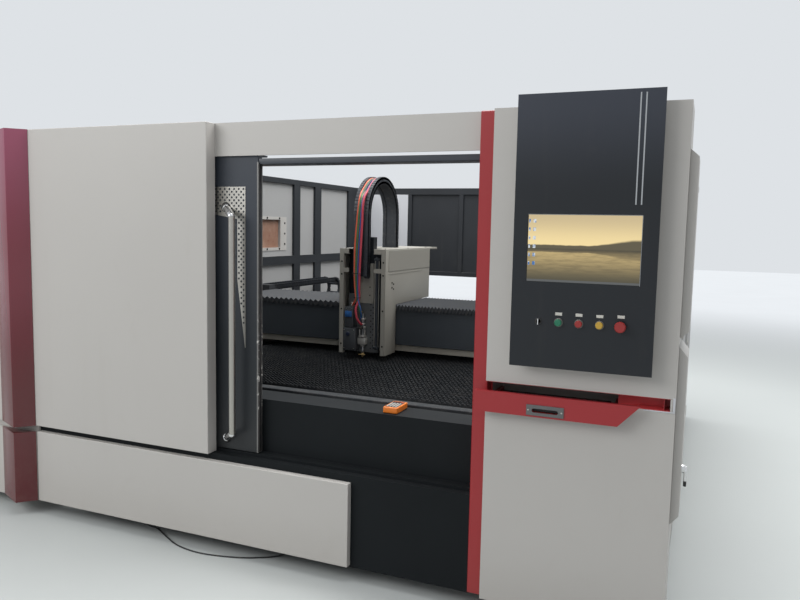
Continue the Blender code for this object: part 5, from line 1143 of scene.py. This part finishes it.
def louvres(name, place, turn, length):
    """Pressed louvre blades one above the other, on the side that the turn about Z gives."""
    rule = Rule("louvre_blades", Blades=12, Blade_Pitch=0.026, Blade_Length=0.34, Blade_Depth=0.014)
    pitch = rule["Blade_Pitch"]
    blade = rule.move(rule.box(rule["Blade_Depth"], rule["Blade_Length"], pitch * 0.22), turn=(0.0, 0.6, 0.0))
    rule.finish(rule.copies(rule.line(rule["Blades"], rule.vector(z=pitch)), blade), "wall_paint")
    rule.make(name, "machine", "wall_paint", 30, place, turn=Matrix.Rotation(turn, 4, "Z"), Blade_Length=length)


def make_outer_sides():
    """Joint strips, edge folds and a service door on each side wall, and the rear door of the left cabinet."""
    top, base = 1.962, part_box("right_wall")[0][2]
    form, points = Form("wall_paint"), {}
    for side, x, out, joints, run, door in (
            ("right", 1.90, 1, (-0.75, 0.15, 1.05), (-1.638, 1.918), (0.27, 0.93)),
            ("left", -1.27, -1, (-0.72, 0.78, 1.36), (-1.298, 1.918), (0.93, 1.23))):
        plates = [((y - 0.025, y + 0.025), (base + 0.045, top - 0.04), 0.003, 0.0012) for y in joints]
        plates += [(run, (top - 0.04, top - 0.001), 0.005, 0.0012), (run, (base + 0.001, base + 0.045), 0.006, 0.0012),
                   (door, (0.28, 1.02), 0.006, 0.002), ((door[0] + 0.03, door[1] - 0.03), (0.31, 0.99), 0.0085, 0.002)]
        for y, z, thick, edge in plates:
            form.sheets((sorted((x, x + out * thick)), y, z), edge=edge)
        points[side] = [(x + out * 0.003, y + dy, 0.22 + 0.28 * k)
                        for y in joints for dy in (-0.015, 0.015) for k in range(7)]
        form.use("bare_steel")
        for z in (0.42, 0.88):
            knob, hinge = door[0] + 0.055, door[1] + 0.006
            form.stud((x + out * 0.0085, knob, z), (x + out * 0.0125, knob, z), 0.013, 20, 0.011, 0.7)
            form.pin((x + out * 0.003, hinge, z), 0.035, 0.006)
        form.use("wall_paint")
    # Outer frame of the window
    for y, z in (((-0.104, 0.477), (1.626, 1.656)), ((-0.104, 0.477), (1.371, 1.401)),
                 ((-0.104, -0.074), (1.401, 1.626)), ((0.447, 0.477), (1.401, 1.626))):
        form.sheets(((-1.274, -1.27), y, z))
    add("side_wall_strips", form, "machine", 30)
    screws("side_wall_screws", "machine", "wall_paint", list(points.items()), 0.007, 0.003)
    louvres("right_wall_louvres", (1.901, 0.60, 1.24), 0.0, 0.5)
    louvres("left_wall_louvres", (-1.271, -1.0, 1.24), pi, 0.34)
    (x0, _, z0), (x1, y1, z1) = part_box("left_end_cabinet")
    form = Form("panel_paint").box((x0 + 0.05, x1 - 0.04), (y1, y1 + 0.018), (z0 + 0.08, z1 - 0.08), 0.0025)
    form.use("bare_steel")
    for z in (0.45, 1.05, 1.65):
        form.pin((x0 + 0.044, y1 + 0.008, z), 0.04, 0.007)
    form.use("black_plastic").box((x1 - 0.085, x1 - 0.06), (y1 + 0.018, y1 + 0.030), (0.98, 1.12), 0.004)
    add("left_cabinet_door", form, "machine", 30)
    louvres("left_cabinet_louvres", (x0 / 2 + x1 / 2, y1 + 0.019, 0.30), pi / 2, 0.42)


def make_rear_wall():
    """Rear wall in folded sheets round the exchange opening, ribbed inside and with joint strips outside."""
    (x0, inside, base), (x1, outside, top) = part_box("rear_wall")
    left, right, low, high, wide = -0.98, 1.50, 0.55, 1.13, 0.045
    whole, rib, skin = (x0, x1), (inside, inside + 0.02), outside - 0.009
    joints = [-0.62 + 0.52 * k for k in range(5)]
    form = Form("black_paint")
    for x, z in (((x0, left), (base, top)), ((right, x1), (base, top)), ((left, right), (high, top)),
                 ((left, right), (base, low))):
        form.box(x, (inside + 0.018, skin), z)
    form.sheets((whole, rib, (1.901, top)), (whole, rib, (high, high + 0.04)), edge=0.0015)
    ribs = [x0, -0.664] + [n for k in range(4) for n in (-0.184 + 0.52 * k, -0.144 + 0.52 * k)] + [1.896, x1]
    for x in zip(ribs[::2], ribs[1::2]):
        form.sheets((x, rib, (high + 0.04, 1.901)), edge=0.0015)
    for x in joints:
        for z in ((base + 0.05, low - wide), (high + wide, top - 0.05)):
            form.sheets(((x - 0.03, x + 0.03), (skin, outside - 0.003), z), edge=0.0015)
    upright, across, hole = (base + 0.05, top - 0.05), (left - wide, right + wide), (low, high)
    for x, z in ((whole, (top - 0.05, top - 0.0005)), (whole, (base + 0.0005, base + 0.05)),
                 ((x0, x0 + 0.05), upright), ((x1 - 0.05, x1), upright), (across, (high, high + wide)),
                 (across, (low - wide, low)), ((left - wide, left), hole), ((right, right + wide), hole)):
        form.sheets((x, (skin, outside), z), edge=0.002)
    add("rear_wall_sheets", form, "machine", 25, ("rear_wall",))
    places = [(x + dx, outside - 0.003, z) for x in joints for dx in (-0.018, 0.018)
              for z in (0.16, 0.32, 0.46, 1.22, 1.42, 1.62, 1.82)]
    screws("rear_wall_screws", "machine", "black_paint", [("rear", places)], 0.006, 0.0028)


# ---------------------------------------------------------------- the scene

# Nodes whose paint differs from the rest of their slot; the drawer slot's lining takes a red copy painted lighter,
# standing in for light in the shaded slot.
OWN_FINISH = {"front_ledge": "low_black", "lower_dark_panel": "low_black", "gantry_front_cover": "cover_paint",
              "door_top_rail": "rail_paint", "rear_white_panel": "white_wall", "drawer_slot_lining": "slot_red",
              "gantry_beam": "beam_paint", "z_plate": "plate_grey"}

make_camera()
FINISH = make_finishes()
make_cable(FINISH["cable_rubber"])
for part in frame["record"]["subparts"]:
    node = NODES[part["node"]]
    node.data.materials.clear()
    node.data.materials.append(FINISH[OWN_FINISH.get(part["node"], part["material_slot"])])
for make in (make_pull_bar, make_perforated_plate, make_leaf_edge, make_slats, make_bellows, make_arch, make_hoses,
             make_side_chain, make_carriage_housing, make_head, make_carriage_details, make_console, make_drawer,
             make_shell, make_outer_sides, make_rear_wall, make_floor, make_world):
    make()
make_light("window_side", (-3.5, -6.5, 4.5), (0.0, -1.5, 0.9), (5.0, 3.0), 212.0)
make_light("roof", (1.0, 0.5, 6.0), (0.5, 0.0, 0.0), (6.0, 6.0), 560.0)
SCENE.view_settings.view_transform = "Standard"
